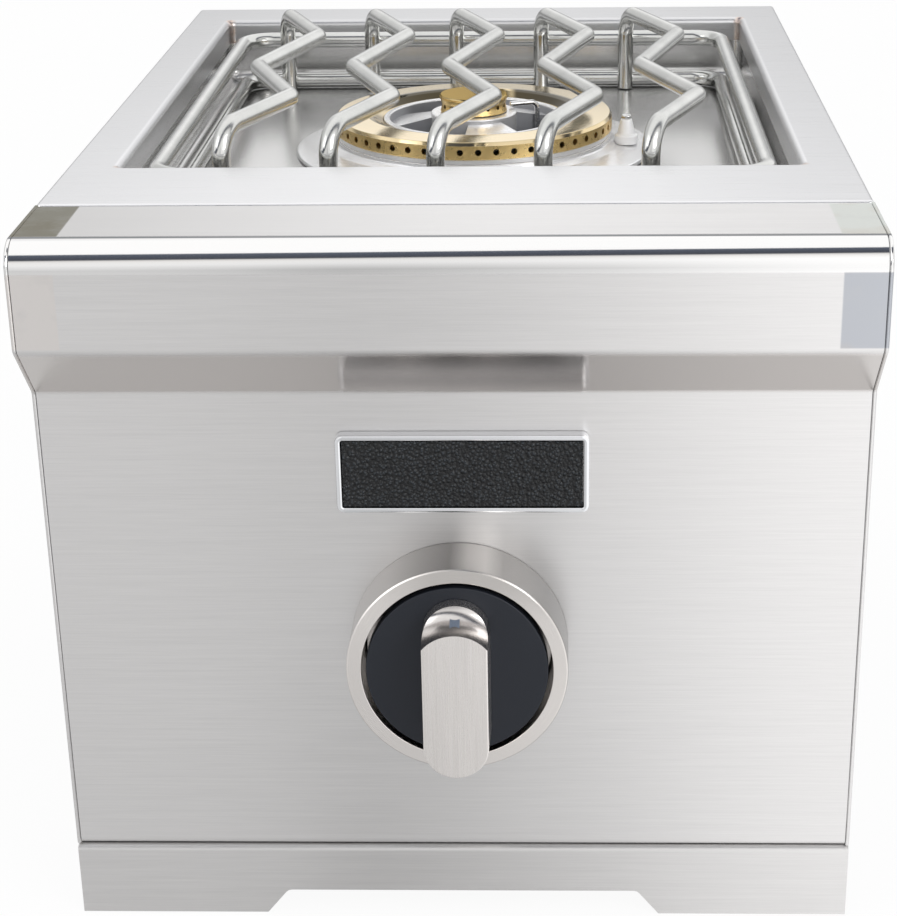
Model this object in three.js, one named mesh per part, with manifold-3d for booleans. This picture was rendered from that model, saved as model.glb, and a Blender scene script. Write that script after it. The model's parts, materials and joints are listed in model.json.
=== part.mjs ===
// Built in side burner: a drop in gas burner for an outdoor kitchen counter.
// Millimetres, +Z up, with the front panel facing -Y and its face on Y 0. The group is
// moved at the end, so that the origin lies at the middle of the whole appliance's bottom.

import * as THREE from 'three';
import { mergeVertices } from 'three/addons/utils/BufferGeometryUtils.js';
import Module from 'manifold-3d';

// General sizes
const sheet = 1.5;
const gap = 0.3;
const overrun = 4;
const mergeTolerance = 0.0001;
const leastCorner = 0.5;

// Front panel and plinth
const overallWidth = 320;
const plinthHeight = 32.5;
const plinthGap = 0.6;
const faceHeight = 198.9;
const returnRise = 23.3;
const apronHeight = 40.7;
const apronReach = 22;
const bullnoseRadius = 11;
const sheetBend = 3;
const seamY = 34;
const hemDrop = 12;
const faceFlange = 12;
const endPlateWidth = 20;
const endPlateShoulder = 15;
const plinthReturn = 20;
const cutoutFootHalf = 82;
const cutoutTopHalf = 73;
const cutoutHeight = 11;
const cutoutRound = 3;

// Deck and burner pan
const frontFlange = 60;
const openingDepth = 327;
const rearFlange = 36;
const sideFlange = 21.6;
const deckHem = 12;
const deckCorner = 2;
const openingCorner = 3;
const lipBend = 3;
const lipDrop = 12;
const panDepth = 32.3;
const panBend = 6;

// Housing
const housingFlange = 15;
const housingInset = 16.7;
const ventCount = 5;
const ventLength = 80;
const ventHeight = 6;
const ventPitch = 16;
const ventHeightShare = 0.55;

// Grate of bent rods
const rodDiameter = 8;
const grateRise = 12.7;
const loopSideClearance = 11.4;
const loopEndClearance = 19.9;
const loopCorner = 15;
const upperLoopDrop = 6.8;
const upperLoopFrontInset = 8;
const barCount = 5;
const barSideClearance = 37.25;
const zigzagWidth = 22.3;
const zigzagShares = [[-0.12, 1], [0.946, 0.514], [0, -0.052], [1.027, -0.54], [0, -1]];
const legBend = 12;
const zigzagBend = 8;

// Main burner
const baseInnerRadius = 60;
const baseWidth = 25;
const baseHeight = 7.5;
const baseEdge = 2;
const baseShoulderWidth = 7;
const baseShoulderDrop = 1;
const baseLand = 2;
const bodyOverhang = 4.5;
const bodyShoulder = 2;
const bodyDepth = 9;
const bodyWall = 2.2;
const bodyFloor = 3;
const troughWidth = 14.5;
const innerWall = 3;
const innerWallRise = 6.2;
const troughPortRadius = 6;
const hubRadius = 20.5;
const hubBore = 9;
const hubRise = 8.2;
const spokeCount = 3;
const spokeWidthShare = 0.13;
const spokeTurnShare = 0.133;
const spokeBottomRise = 4;
const spokeTopDrop = 1;
const spokeFall = 5.5;
const flameRingOverhang = 5.8;
const flameRingHeight = 8.1;
const flamePortCount = 50;
const flamePortDiameter = 2.4;
const flamePortRaise = 3.3;
const flameRingOuterShares = [[1, 0], [1, 0.81], [0.564, 0.951], [0.342, 1], [0.231, 0.926], [0, 0.605]];
const flameRingInnerShares = [[0, 0.173], [0.093, 0.173], [0.093, 0.469], [0.387, 0.753], [0.853, 0.605]];
const flameRingFootShare = 0.853;
const flamePortTurnShare = 0.5;
const capRadius = 16.2;
const capHeight = 8.2;
const capWaist = 15;
const capWall = 2.5;
const capRoof = 2.5;
const capRimHeight = 3;
const capRimRound = 0.8;
const capFloor = 1.7;
const capSpigotDepth = 6;
const capSpigotWall = 2.2;
const capPortCount = 16;
const capPortDiameter = 2;
const capPortRaise = 3.2;
const capPortTurnShare = 0.25;

// Fasteners
const screwRadius = 2;
const screwHeadRadius = 3.5;
const screwHeadHeight = 2;
const screwLength = 9;
const burnerScrewInset = 7;
const bezelScrewReach = 30;
const valveScrewReach = 17;

// Electrodes
const electrodeReach = 12.6;
const electrodeShift = -4.5;
const insulatorRadius = 3;
const insulatorCollar = 5.5;
const insulatorCollarHeight = 4.4;
const insulatorConeTop = 2.6;
const insulatorConeFoot = 4.4;
const insulatorConeHeight = 7.3;
const insulatorPocket = 3;
const insulatorStemDrop = 19;
const tipRadius = 2.4;
const tipHeight = 1.6;
const wireDiameter = 2.5;
const wireClearance = 7.7;
const wireTurnShare = 0.0605;
const wireDrop = 14;
const wireRise = 20;
const wireBend = 3;
const sparkGap = 2;

// Control knob
const knobX = 1;
const knobHeightShare = 0.472;
const bezelRadius = 43;
const bezelDepth = 26;
const bezelWall = 5.8;
const bezelFloor = 2;
const bezelBore = 14;
const bezelChamfer = 0.6;
const discGroove = 1.9;
const discThickness = 6;
const discRecess = 0.1;
const hubOfKnob = 12;
const knobHubDepth = 11.9;
const knobTravel = 3;
const leverHalfWidth = 13.05;
const leverDraft = 0.5;
const leverHeight = 18.8;
const leverTop = 30.8;
const leverBottom = 37;
const leverEdge = 0.5;
const undercutDepth = 4.3;
const undercutStart = 34;
const scoopRaise = 8.3;
const scoopFaceRadius = 16;
const scoopDepth = 13;
const pointerWidth = 3.8;
const pointerLength = 5.2;
const pointerThickness = 1;
const pointerProud = 0.1;
const pointerTurnShare = 0.108;

// Valve behind the panel
const stemRadius = 4;
const stemSocket = 10.5;
const panelBore = 8;
const washerRadius = 9;
const washerThickness = 1.2;
const washerY = 8;
const springRadius = 6.2;
const springWire = 1.2;
const springCurls = 5;
const bracketReach = 27.7;
const bracketHalfWidth = 24;
const bracketFlange = 16;
const bracketHeight = 44;
const bonnetRadius = 10;
const bonnetLength = 16;
const bonnetBore = 14;
const valveWidth = 26;
const valveDepth = 30;
const lugWidth = 44;
const lugHeight = 16;
const lugThickness = 3;
const valveWall = 3;

// Gas train below the pan
const gasTubeRadius = 3.2;
const gasTubeBend = 14;
const gasTubeSpread = 8;
const gasTubeReach = 42;
const outerVenturiRadius = 9.5;
const innerVenturiRadius = 9;
const outerVenturiDrop = 34.2;
const innerVenturiDrop = 57.2;
const venturiWall = 2;
const venturiBoreDepth = 24;
const venturiTopBore = 8;
const venturiBend = 16;
const mouthInset = 7.5;
const windowHeight = 8;
const windowLength = 8;
const windowInset = 5;
const shutterWall = 1.2;
const shutterLength = 18;
const orificeRadius = 4.5;
const orificeLength = 18;
const orificeStandoff = 3.7;
const orificePlate = 2;
const orificePlateMargin = 14;
const orificePlateInset = 7;
const supplyRadius = 6;
const supplyBend = 20;
const supplyInset = 43.5;
const supplyRaise = 70;
const supplyTurnY = 130;
const supplyPortDrop = 8;
const inletStubRadius = 7.5;
const inletBore = 4;
const inletHexAcross = 20;
const inletHexLength = 8;
const inletStub = 6;
const inletNeck = 4.3;
const inletNeckRadius = 8.5;

// Spark module and its leads
const moduleWidth = 25;
const moduleDepth = 40;
const moduleHeight = 55;
const moduleY = 80;
const moduleDrop = 57;
const leadRadius = 1.5;
const leadBend = 8;
const leadDrop = 28;
const leadSpacing = 10;

// Name plate
const plateX = 3.5;
const plateHeightShare = 0.49;
const plateWidth = 97;
const plateHeight = 31.8;
const plateThickness = 5;
const plateRim = 2.2;
const plateCorner = 3;
const plateRecess = 0.6;

// Facets
const chordSag = 0.08;
const tubeTurn = Math.PI / 6;
const turnSlack = 0.01;
const cornerSteps = 3;
const roundSteps = 6;
const rodSides = 8;
const burnerSides = 36;
const knobSides = 40;
const hubSides = 24;
const smallSides = 12;
const screwSides = 6;
const hexSides = 6;
const leadSides = 6;
const portSides = 6;
const curlSteps = 8;
const curlSides = 5;

// Places worked out from the sizes above
const halfWidth = overallWidth / 2;
const faceBottom = plinthHeight + plinthGap;
const faceTop = faceBottom + faceHeight;
const apronBottom = faceTop + returnRise;
const deckTop = apronBottom + apronHeight;
const openingFront = seamY + frontFlange;
const openingRear = openingFront + openingDepth;
const deckRear = openingRear + rearFlange;
const openingHalf = halfWidth - sideFlange;
const centreY = (openingFront + openingRear) / 2;
const panInner = sheet + gap;
const panOuter = panInner + sheet;
const panFloorTop = deckTop - panDepth;
const panFloorBottom = panFloorTop - sheet;
const housingInner = openingHalf + panOuter + gap;
const housingOuter = housingInner + sheet;
const housingFront = sheet + gap;
const housingRear = deckRear - housingInset;
const housingFloor = faceBottom + sheet + gap;
const housingTop = deckTop - sheet - gap;
const knobZ = faceBottom + knobHeightShare * faceHeight;
const discFront = discRecess - bezelDepth;
const discRear = discFront + discThickness;
const leverBase = discFront - gap;
const leverFront = leverBase - leverHeight;
const baseRadius = baseInnerRadius + baseWidth;
const baseShoulderRadius = baseInnerRadius + baseShoulderWidth;
const baseBottom = panFloorTop + gap;
const bodyBottom = baseBottom - bodyDepth;
const shoulderTop = baseBottom + baseHeight + gap + bodyShoulder;
const hubTop = shoulderTop + hubRise;
const hubBottom = bodyBottom + bodyFloor;
const bodyOuterRadius = baseInnerRadius - gap;
const bodyShoulderRadius = baseInnerRadius + bodyOverhang;
const troughOuterRadius = bodyOuterRadius - bodyWall;
const innerWallOuterRadius = troughOuterRadius - troughWidth;
const innerWallRadius = innerWallOuterRadius - innerWall;
const flameRingRadius = baseInnerRadius + flameRingOverhang;
const electrodeX = baseInnerRadius + electrodeReach;
const electrodeY = centreY + electrodeShift;
const wireReach = innerWallRadius - wireClearance;
const outerVenturiX = -(innerWallOuterRadius + troughOuterRadius) / 2;
const outerVenturiZ = panFloorBottom - outerVenturiDrop;
const innerVenturiZ = panFloorBottom - innerVenturiDrop;
const mouthY = centreY + mouthInset - baseRadius;
const supplyX = supplyInset - housingOuter;
const bonnetFront = bracketReach + gap;
const valveFront = bonnetFront + bonnetLength;
const valveRear = valveFront + valveDepth;
const tubeY = (valveFront + valveRear) / 2;
const valveTop = knobZ + valveWidth / 2;
const screwHole = screwRadius + gap;
const rodRadius = rodDiameter / 2;
const leadLevel = panFloorBottom - leadDrop;

// Finishes, one recipe for each kind of surface
const brushedSteel = { color: '#c9c7c4', roughness: 0.38, metalness: 1 };
const polishedSteel = { color: '#d6d5d3', roughness: 0.14, metalness: 1 };
const galvanisedSteel = { color: '#a9aaab', roughness: 0.55, metalness: 0.9 };
const castAluminium = { color: '#bfc0c1', roughness: 0.42, metalness: 0.95 };
const brass = { color: '#c8993f', roughness: 0.28, metalness: 1 };
const ceramic = { color: '#f1efe9', roughness: 0.35, metalness: 0 };
const satinNickel = { color: '#cdc8c1', roughness: 0.3, metalness: 1 };
const knobBlack = { color: '#22252b', roughness: 0.6, metalness: 0.1 };
const markGrey = { color: '#5f6774', roughness: 0.5, metalness: 0.2 };
const chrome = { color: '#dadcdf', roughness: 0.08, metalness: 1 };
const plateBlack = { color: '#1b2126', roughness: 0.7, metalness: 0 };
const moduleBlack = { color: '#202225', roughness: 0.6, metalness: 0 };
const leadOrange = { color: '#b5522e', roughness: 0.6, metalness: 0 };

const wasm = await Module();
wasm.setup();

const model = new THREE.Group();

function signedVolume(points, triangles) {
  const corners = [new THREE.Vector3(), new THREE.Vector3(), new THREE.Vector3()];
  let total = 0;
  for (let first = 0; first < triangles.length; first += 3) {
    corners.forEach((corner, offset) => corner.fromArray(points, triangles[first + offset] * 3));
    total += corners[0].dot(corners[1].cross(corners[2]));
  }
  return total;
}

// Turns a closed geometry into a solid whose faces point outward
function toSolid(geometry) {
  const bare = geometry.clone();
  bare.deleteAttribute('normal');
  bare.deleteAttribute('uv');
  const merged = mergeVertices(bare, mergeTolerance);
  const points = merged.attributes.position.array;
  const triangles = [];
  for (let first = 0; first < merged.index.count; first += 3) {
    const [a, b, c] = merged.index.array.slice(first, first + 3);
    if (a !== b && b !== c && c !== a) triangles.push(a, b, c);
  }
  if (signedVolume(points, triangles) < 0) triangles.reverse();
  const vertProperties = Float32Array.from(points);
  const triVerts = Uint32Array.from(triangles);
  return new wasm.Manifold(new wasm.Mesh({ numProp: 3, vertProperties, triVerts }));
}

function toGeometry(solid) {
  const mesh = solid.getMesh();
  const geometry = new THREE.BufferGeometry();
  geometry.setAttribute('position', new THREE.BufferAttribute(Float32Array.from(mesh.vertProperties), 3));
  geometry.setIndex(new THREE.BufferAttribute(Uint32Array.from(mesh.triVerts), 1));
  return geometry;
}

function addPiece(name, solid, recipe) {
  const mesh = new THREE.Mesh(toGeometry(solid), new THREE.MeshStandardMaterial(recipe));
  mesh.name = name;
  model.add(mesh);
}

const cut = (solid, cutters) => cutters.reduce((rest, cutter) => rest.subtract(cutter), solid);
const join = (solid, others) => others.reduce((whole, other) => whole.add(other), solid);

// Outlines are lists of pairs
function shapeOf(outline, holes = []) {
  const shape = new THREE.Shape(outline.map(([a, b]) => new THREE.Vector2(a, b)));
  holes.forEach((hole) => shape.holes.push(new THREE.Path(hole.map(([a, b]) => new THREE.Vector2(a, b)))));
  return shape;
}

function circle(a, b, radius, sides) {
  return Array.from({ length: sides }, (_, side) => {
    const angle = (side + 0.5) * 2 * Math.PI / sides;
    return [a + radius * Math.cos(angle), b + radius * Math.sin(angle)];
  });
}

function box(lowA, highA, lowB, highB) {
  return [[lowA, lowB], [highA, lowB], [highA, highB], [lowA, highB]];
}

function roundedBox(lowA, highA, lowB, highB, radius, steps = cornerSteps) {
  const centres = [[highA - radius, highB - radius], [lowA + radius, highB - radius],
    [lowA + radius, lowB + radius], [highA - radius, lowB + radius]];
  return centres.flatMap(([a, b], quarter) => Array.from({ length: steps + 1 }, (_, step) => {
    const angle = (quarter + step / steps) * Math.PI / 2;
    return [a + radius * Math.cos(angle), b + radius * Math.sin(angle)];
  }));
}

function extruded(outline, length, holes) {
  return new THREE.ExtrudeGeometry(shapeOf(outline, holes), { depth: length, bevelEnabled: false });
}

// Radius of a round opening of flats that clears a round piece as the one turns in the other
const clearOf = (radius, sides) => (radius + gap) / Math.cos(Math.PI / sides);

const axisX = new THREE.Vector3(1, 0, 0);
const axisY = new THREE.Vector3(0, 1, 0);
const axisZ = new THREE.Vector3(0, 0, 1);

// Outline in X and Y, extruded upward
function prismZ(outline, low, high, holes) {
  return toSolid(extruded(outline, high - low, holes).translate(0, 0, low));
}

// Outline in Y and Z, extruded to the right
function prismX(outline, left, right, holes) {
  const turn = new THREE.Matrix4().makeBasis(axisY, axisZ, axisX);
  return toSolid(extruded(outline, right - left, holes).applyMatrix4(turn).translate(left, 0, 0));
}

// Outline in X and Z, extruded between a front and a rear place
function prismY(outline, front, rear, holes) {
  const turn = new THREE.Matrix4().makeBasis(axisX, axisZ, axisY.clone().negate());
  return toSolid(extruded(outline, rear - front, holes).applyMatrix4(turn).translate(0, rear, 0));
}

// Profile of radius and place along the axis, revolved about an upright axis
function revolveZ(profile, sides, x = 0, y = centreY) {
  const points = profile.map(([radius, z]) => new THREE.Vector2(radius, z));
  return toSolid(new THREE.LatheGeometry(points, sides).rotateX(Math.PI / 2).translate(x, y, 0));
}

// The same about an axis that runs from front to rear
function revolveY(profile, sides, x, z) {
  const points = profile.map(([radius, y]) => new THREE.Vector2(radius, y));
  return toSolid(new THREE.LatheGeometry(points, sides).translate(x, 0, z));
}

const closedProfile = (profile) => [...profile, profile[0]];

// Stations, each a place and a direction, along straight runs joined by round bends, whose
// facets turn by as much as a function of the bend gives
function stationsAlong(corners, facetTurn) {
  const places = corners.map(([x, y, z]) => new THREE.Vector3(x, y, z));
  const runs = places.slice(1).map((place, index) => place.clone().sub(places[index]).normalize());
  const stations = [{ point: places[0], tangent: runs[0] }];
  for (let index = 1; index < runs.length; index += 1) {
    const bend = corners[index][3];
    const turn = runs[index - 1].angleTo(runs[index]);
    const pivot = runs[index - 1].clone().cross(runs[index]).normalize();
    const inward = pivot.clone().cross(runs[index - 1]).normalize();
    const setback = bend * Math.tan(turn / 2);
    const start = places[index].clone().addScaledVector(runs[index - 1], -setback);
    const centre = start.clone().addScaledVector(inward, bend);
    const steps = Math.max(1, Math.ceil(turn / facetTurn(bend) - turnSlack));
    for (let step = 0; step <= steps; step += 1) {
      const angle = turn * step / steps;
      const arm = inward.clone().applyAxisAngle(pivot, angle);
      stations.push({
        point: centre.clone().addScaledVector(arm, -bend),
        tangent: runs[index - 1].clone().applyAxisAngle(pivot, angle),
      });
    }
  }
  stations.push({ point: places[places.length - 1], tangent: runs[runs.length - 1] });
  return stations;
}

// Flat outline of a path of corners, each a pair and its bend, within a small sag of the true arc
function bentOutline(corners) {
  const facetTurn = (bend) => 2 * Math.acos(1 - chordSag / bend);
  return stationsAlong(corners.map(([a, b, bend]) => [a, b, 0, bend]), facetTurn);
}

const outlineOf = (stations) => stations.map(({ point }) => [point.x, point.y]);

// Section of a folded sheet whose thickness lies to the left of the path
function foldedSheet(corners) {
  const stations = bentOutline(corners);
  const inner = stations.map(({ point, tangent }) => [
    point.x - tangent.y * sheet, point.y + tangent.x * sheet]);
  return [...outlineOf(stations), ...inner.reverse()];
}

// Path for a swept rod, which passes exactly through its stations
class RodPath extends THREE.Curve {
  constructor(stations) {
    super();
    this.stations = stations;
  }

  stationAt(share) {
    return this.stations[Math.round(share * (this.stations.length - 1))];
  }

  getPointAt(share, target = new THREE.Vector3()) {
    return target.copy(this.stationAt(share).point);
  }

  getTangentAt(share, target = new THREE.Vector3()) {
    return target.copy(this.stationAt(share).tangent);
  }

  getSpacedPoints() {
    return this.stations.map(({ point }) => point.clone());
  }
}

function sweptRod(stations, radius, sides) {
  const extrudePath = new RodPath(stations);
  const steps = stations.length - 1;
  const section = shapeOf(circle(0, 0, radius, sides));
  return toSolid(new THREE.ExtrudeGeometry(section, { steps, extrudePath, bevelEnabled: false }));
}

const bentRod = (corners, radius, sides) => sweptRod(stationsAlong(corners, () => tubeTurn), radius, sides);

// Skin through a list of rings with equal counts of points, closed end to end or capped
function loft(rings, endless) {
  const count = rings[0].length;
  const bands = endless ? rings.length : rings.length - 1;
  const index = [];
  for (let band = 0; band < bands; band += 1) {
    const above = (band + 1) % rings.length;
    for (let place = 0; place < count; place += 1) {
      const next = (place + 1) % count;
      index.push(band * count + place, band * count + next, above * count + next);
      index.push(band * count + place, above * count + next, above * count + place);
    }
  }
  if (!endless) {
    const last = (rings.length - 1) * count;
    for (let place = 1; place < count - 1; place += 1) {
      index.push(0, place + 1, place, last, last + place, last + place + 1);
    }
  }
  const geometry = new THREE.BufferGeometry();
  geometry.setAttribute('position', new THREE.Float32BufferAttribute(rings.flat(2), 3));
  geometry.setIndex(index);
  return toSolid(geometry);
}

// Level ring round a rectangle in plan, grown by an outset
function levelRing(frame, outset, z) {
  const radius = Math.max(frame.corner + outset, leastCorner);
  const outline = roundedBox(-frame.halfX - outset, frame.halfX + outset,
    frame.front - outset, frame.rear + outset, radius);
  return outline.map(([x, y]) => [x, y, z]);
}

const openingFrame = { halfX: openingHalf, front: openingFront, rear: openingRear, corner: openingCorner };

function quarterTurns(steps, visit) {
  return Array.from({ length: steps + 1 }, (_, step) => visit(step * Math.PI / 2 / steps));
}

// Sheet metal body

// Outer surface of the front panel from its bullnose down to the foot of its face
const panelFront = [
  [-apronReach, deckTop, bullnoseRadius],
  [-apronReach, apronBottom, sheetBend],
  [0, faceTop, sheetBend],
];

function addFrontPanel() {
  const section = foldedSheet([
    [seamY, deckTop - hemDrop],
    [seamY, deckTop, sheetBend],
    ...panelFront,
    [0, faceBottom, sheetBend],
    [faceFlange, faceBottom],
  ]);
  const halfPanel = halfWidth - sheet - gap;
  const holes = [
    prismY(circle(knobX, knobZ, panelBore, smallSides), -overrun, sheet + overrun),
    ...[-1, 1].map((side) => prismY(
      circle(knobX + side * bezelScrewReach, knobZ, screwHole, screwSides), -overrun, sheet + overrun)),
  ];
  addPiece('front_panel', cut(prismX(section, -halfPanel, halfPanel), holes), brushedSteel);
}

function addEndPlates() {
  const outline = [
    ...outlineOf(bentOutline([[seamY, deckTop], ...panelFront, [0, faceBottom]])),
    [endPlateWidth, faceBottom],
    [endPlateWidth, faceTop],
    [seamY, faceTop + endPlateShoulder],
  ];
  addPiece('front_panel_end_left', prismX(outline, -halfWidth, -halfWidth + sheet), brushedSteel);
  addPiece('front_panel_end_right', prismX(outline, halfWidth - sheet, halfWidth), brushedSteel);
}

// Gap below the middle of a plinth, cut from front to rear
function plinthCutout(front, rear) {
  const spread = (cutoutFootHalf - cutoutTopHalf) * overrun / cutoutHeight;
  const foot = cutoutFootHalf + spread;
  const outline = outlineOf(bentOutline([
    [-foot, -overrun],
    [-cutoutTopHalf, cutoutHeight, cutoutRound],
    [cutoutTopHalf, cutoutHeight, cutoutRound],
    [foot, -overrun],
  ]));
  return prismY(outline, front, rear);
}

function addPlinths() {
  const front = foldedSheet([[plinthReturn, plinthHeight], [0, plinthHeight, sheetBend], [0, 0]]);
  const frontPlinth = prismX(front, -halfWidth, halfWidth);
  const frontCut = plinthCutout(-overrun, plinthReturn + overrun);
  addPiece('front_plinth', frontPlinth.subtract(frontCut), brushedSteel);

  const top = housingFloor - gap;
  const rear = foldedSheet([
    [housingRear, 0], [housingRear, top, sheetBend], [housingRear - plinthReturn, top]]);
  const rearPlinth = prismX(rear, -housingOuter, housingOuter);
  const rearCut = plinthCutout(housingRear - plinthReturn - overrun, housingRear + overrun);
  addPiece('rear_plinth', rearPlinth.subtract(rearCut), galvanisedSteel);
}

// Deck flange with a closed hem, open in the middle over the burner
function addTopDeck() {
  const outer = { halfX: halfWidth, front: seamY + gap, rear: deckRear, corner: deckCorner };
  const hemRings = quarterTurns(cornerSteps, (angle) => [
    sheet * (Math.sin(angle) - 1), deckTop - sheet - sheet * Math.cos(angle)]);
  const topRings = quarterTurns(cornerSteps, (angle) => [
    sheet * (Math.cos(angle) - 1), deckTop - sheet + sheet * Math.sin(angle)]);
  const edge = [...hemRings, ...topRings.slice(1)];
  const lipOut = quarterTurns(cornerSteps, (angle) => [
    lipBend - lipBend * Math.sin(angle), deckTop - lipBend + lipBend * Math.cos(angle)]);
  const lipIn = quarterTurns(cornerSteps, (angle) => [
    lipBend - (lipBend - sheet) * Math.cos(angle), deckTop - lipBend + (lipBend - sheet) * Math.sin(angle)]);
  const rings = [
    ...edge.map(([outset, z]) => levelRing(outer, outset, z)),
    ...lipOut.map(([outset, z]) => levelRing(openingFrame, outset, z)),
    levelRing(openingFrame, 0, deckTop - lipDrop),
    levelRing(openingFrame, sheet, deckTop - lipDrop),
    ...lipIn.map(([outset, z]) => levelRing(openingFrame, outset, z)),
    levelRing(outer, -deckHem, deckTop - sheet),
    levelRing(outer, -deckHem, deckTop - 2 * sheet),
  ];
  addPiece('top_deck', loft(rings, true), brushedSteel);
}

// Open box that hangs round the deck's lip and carries the burner and the grate
function addBurnerPan() {
  const panTop = deckTop - lipBend - gap;
  const outerBend = panBend + sheet;
  const outside = quarterTurns(cornerSteps, (angle) => [
    panOuter - outerBend * (1 - Math.sin(angle)), panFloorBottom + outerBend * (1 - Math.cos(angle))]);
  const inside = quarterTurns(cornerSteps, (angle) => [
    panInner - panBend * (1 - Math.cos(angle)), panFloorTop + panBend * (1 - Math.sin(angle))]);
  const rings = [
    ...outside.map(([outset, z]) => levelRing(openingFrame, outset, z)),
    levelRing(openingFrame, panOuter, panTop),
    levelRing(openingFrame, panInner, panTop),
    ...inside.map(([outset, z]) => levelRing(openingFrame, outset, z)),
  ];
  const low = panFloorBottom - overrun;
  const high = panFloorTop + overrun;
  const well = baseInnerRadius + bodyWall;
  const screwPlace = baseRadius - burnerScrewInset;
  const holes = [
    prismZ(circle(0, centreY, well, burnerSides), low, high),
    prismZ(circle(electrodeX, electrodeY, insulatorRadius + gap, smallSides), low, high),
    ...[-1, 1].map((side) => prismZ(
      circle(0, centreY + side * screwPlace, screwHole, screwSides), low, high)),
  ];
  addPiece('burner_pan', cut(loft(rings, false), holes), polishedSteel);
}

function addHousing() {
  const floorOutline = box(-housingOuter, housingOuter, sheetBend + gap, housingRear);
  addPiece('housing_bottom', prismZ(floorOutline, housingFloor, housingFloor + sheet), galvanisedSteel);

  const low = housingFloor + sheet + gap;
  const sideRear = housingRear - sheet - gap;
  const stepY = seamY + gap + deckHem + gap;
  const stepZ = deckTop - hemDrop - gap;
  const sideOutline = [
    [housingFront, low],
    [sideRear, low],
    [sideRear, housingTop],
    [stepY, housingTop],
    [stepY, stepZ],
    [housingFront, stepZ],
  ];
  const flangeOutline = box(housingFront, housingFront + sheet, low, stepZ);
  [['housing_left', -1], ['housing_right', 1]].forEach(([name, side]) => {
    const wall = [side * housingInner, side * housingOuter].sort((a, b) => a - b);
    const flange = [side * (housingOuter - housingFlange), side * housingOuter].sort((a, b) => a - b);
    addPiece(name, prismX(sideOutline, ...wall).add(prismX(flangeOutline, ...flange)), galvanisedSteel);
  });

  const middle = low + ventHeightShare * (housingTop - low);
  const vents = Array.from({ length: ventCount }, (_, index) => {
    const z = middle + (index - (ventCount - 1) / 2) * ventPitch;
    const half = ventHeight / 2;
    return roundedBox(-ventLength / 2, ventLength / 2, z - half, z + half, half);
  });
  const inletHole = circle(supplyX, supplyRaise, inletNeckRadius + gap, smallSides);
  const rearOutline = box(-housingOuter, housingOuter, low, housingTop);
  const rearWall = prismY(rearOutline, housingRear - sheet, housingRear, [...vents, inletHole]);
  addPiece('housing_rear', rearWall, galvanisedSteel);
}

// Grate: two rod loops and zigzag bars whose legs stand on the pan
function addGrate() {
  const halfX = openingHalf - loopSideClearance;
  const halfY = openingDepth / 2 - loopEndClearance;
  [
    ['grate_loop_upper', deckTop - upperLoopDrop, openingDepth / 2 - upperLoopFrontInset],
    ['grate_loop_lower', panFloorTop + gap + rodRadius, halfY],
  ].forEach(([name, z, reach]) => {
    const frame = { halfX, front: centreY - reach, rear: centreY + halfY, corner: loopCorner };
    const rings = circle(0, z, rodRadius, rodSides).map(([outset, level]) => levelRing(frame, outset, level));
    addPiece(name, loft(rings, true), polishedSteel);
  });

  const barTop = deckTop + grateRise - rodRadius;
  const legFoot = panFloorTop + gap;
  const legY = halfY - rodDiameter - gap;
  const firstX = barSideClearance - openingHalf;
  const barPitch = -(2 * firstX + zigzagWidth) / (barCount - 1);
  for (let bar = 0; bar < barCount; bar += 1) {
    const turns = zigzagShares.map(([across, along]) => [
      firstX + bar * barPitch + across * zigzagWidth, centreY + along * legY]);
    const rear = turns[0];
    const front = turns[turns.length - 1];
    addPiece(`grate_bar_${bar + 1}`, bentRod([
      [...rear, legFoot],
      ...turns.map((turn) => [...turn, barTop, turn === rear || turn === front ? legBend : zigzagBend]),
      [...front, legFoot],
    ], rodRadius, rodSides), polishedSteel);
  }
}

// Screw with a flat head, its head above its shank
const screwProfile = (seat, direction) => [
  [0, seat - direction * screwLength],
  [screwRadius, seat - direction * screwLength],
  [screwRadius, seat],
  [screwHeadRadius, seat],
  [screwHeadRadius, seat + direction * screwHeadHeight],
  [0, seat + direction * screwHeadHeight],
];

// Round holes through a wall at equal steps about the burner's axis
function radialHoles(count, turnShare, diameter, z, inner, outer) {
  return Array.from({ length: count }, (_, index) => {
    const angle = (index + turnShare) * 2 * Math.PI / count;
    const outline = circle(0, z, diameter / 2, portSides);
    const turn = new THREE.Matrix4().makeBasis(axisX, axisZ, axisY.clone().negate());
    const hole = extruded(outline, outer - inner).applyMatrix4(turn).translate(0, -inner, 0);
    return toSolid(hole.rotateZ(angle).translate(0, centreY, 0));
  });
}

function addBurnerBase() {
  const top = baseBottom + baseHeight;
  const ring = revolveZ(closedProfile([
    [baseInnerRadius, baseBottom],
    [baseRadius, baseBottom],
    [baseRadius, baseBottom + baseEdge],
    [baseShoulderRadius, top - baseShoulderDrop],
    [baseInnerRadius + baseLand, top],
    [baseInnerRadius, top],
  ]), burnerSides);
  const low = baseBottom - overrun;
  const high = top + overrun;
  const screwPlace = baseRadius - burnerScrewInset;
  const pocket = insulatorCollar + 2 * gap;
  const holes = [
    prismZ(circle(electrodeX, electrodeY, insulatorRadius + gap, smallSides), low, high),
    prismZ(circle(electrodeX, electrodeY, pocket, smallSides), baseBottom + insulatorPocket, high),
    ...[-1, 1].flatMap((side) => {
      const y = centreY + side * screwPlace;
      return [
        prismZ(circle(0, y, screwHole, screwSides), low, high),
        prismZ(circle(0, y, screwHeadRadius + gap, screwSides), baseBottom + baseEdge, high),
      ];
    }),
  ];
  addPiece('burner_base', cut(ring, holes), castAluminium);

  const seat = baseBottom + baseEdge + gap;
  const screw = screwProfile(seat, 1);
  addPiece('burner_screw_front', revolveZ(screw, screwSides, 0, centreY - screwPlace), brushedSteel);
  addPiece('burner_screw_rear', revolveZ(screw, screwSides, 0, centreY + screwPlace), brushedSteel);
}

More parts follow.
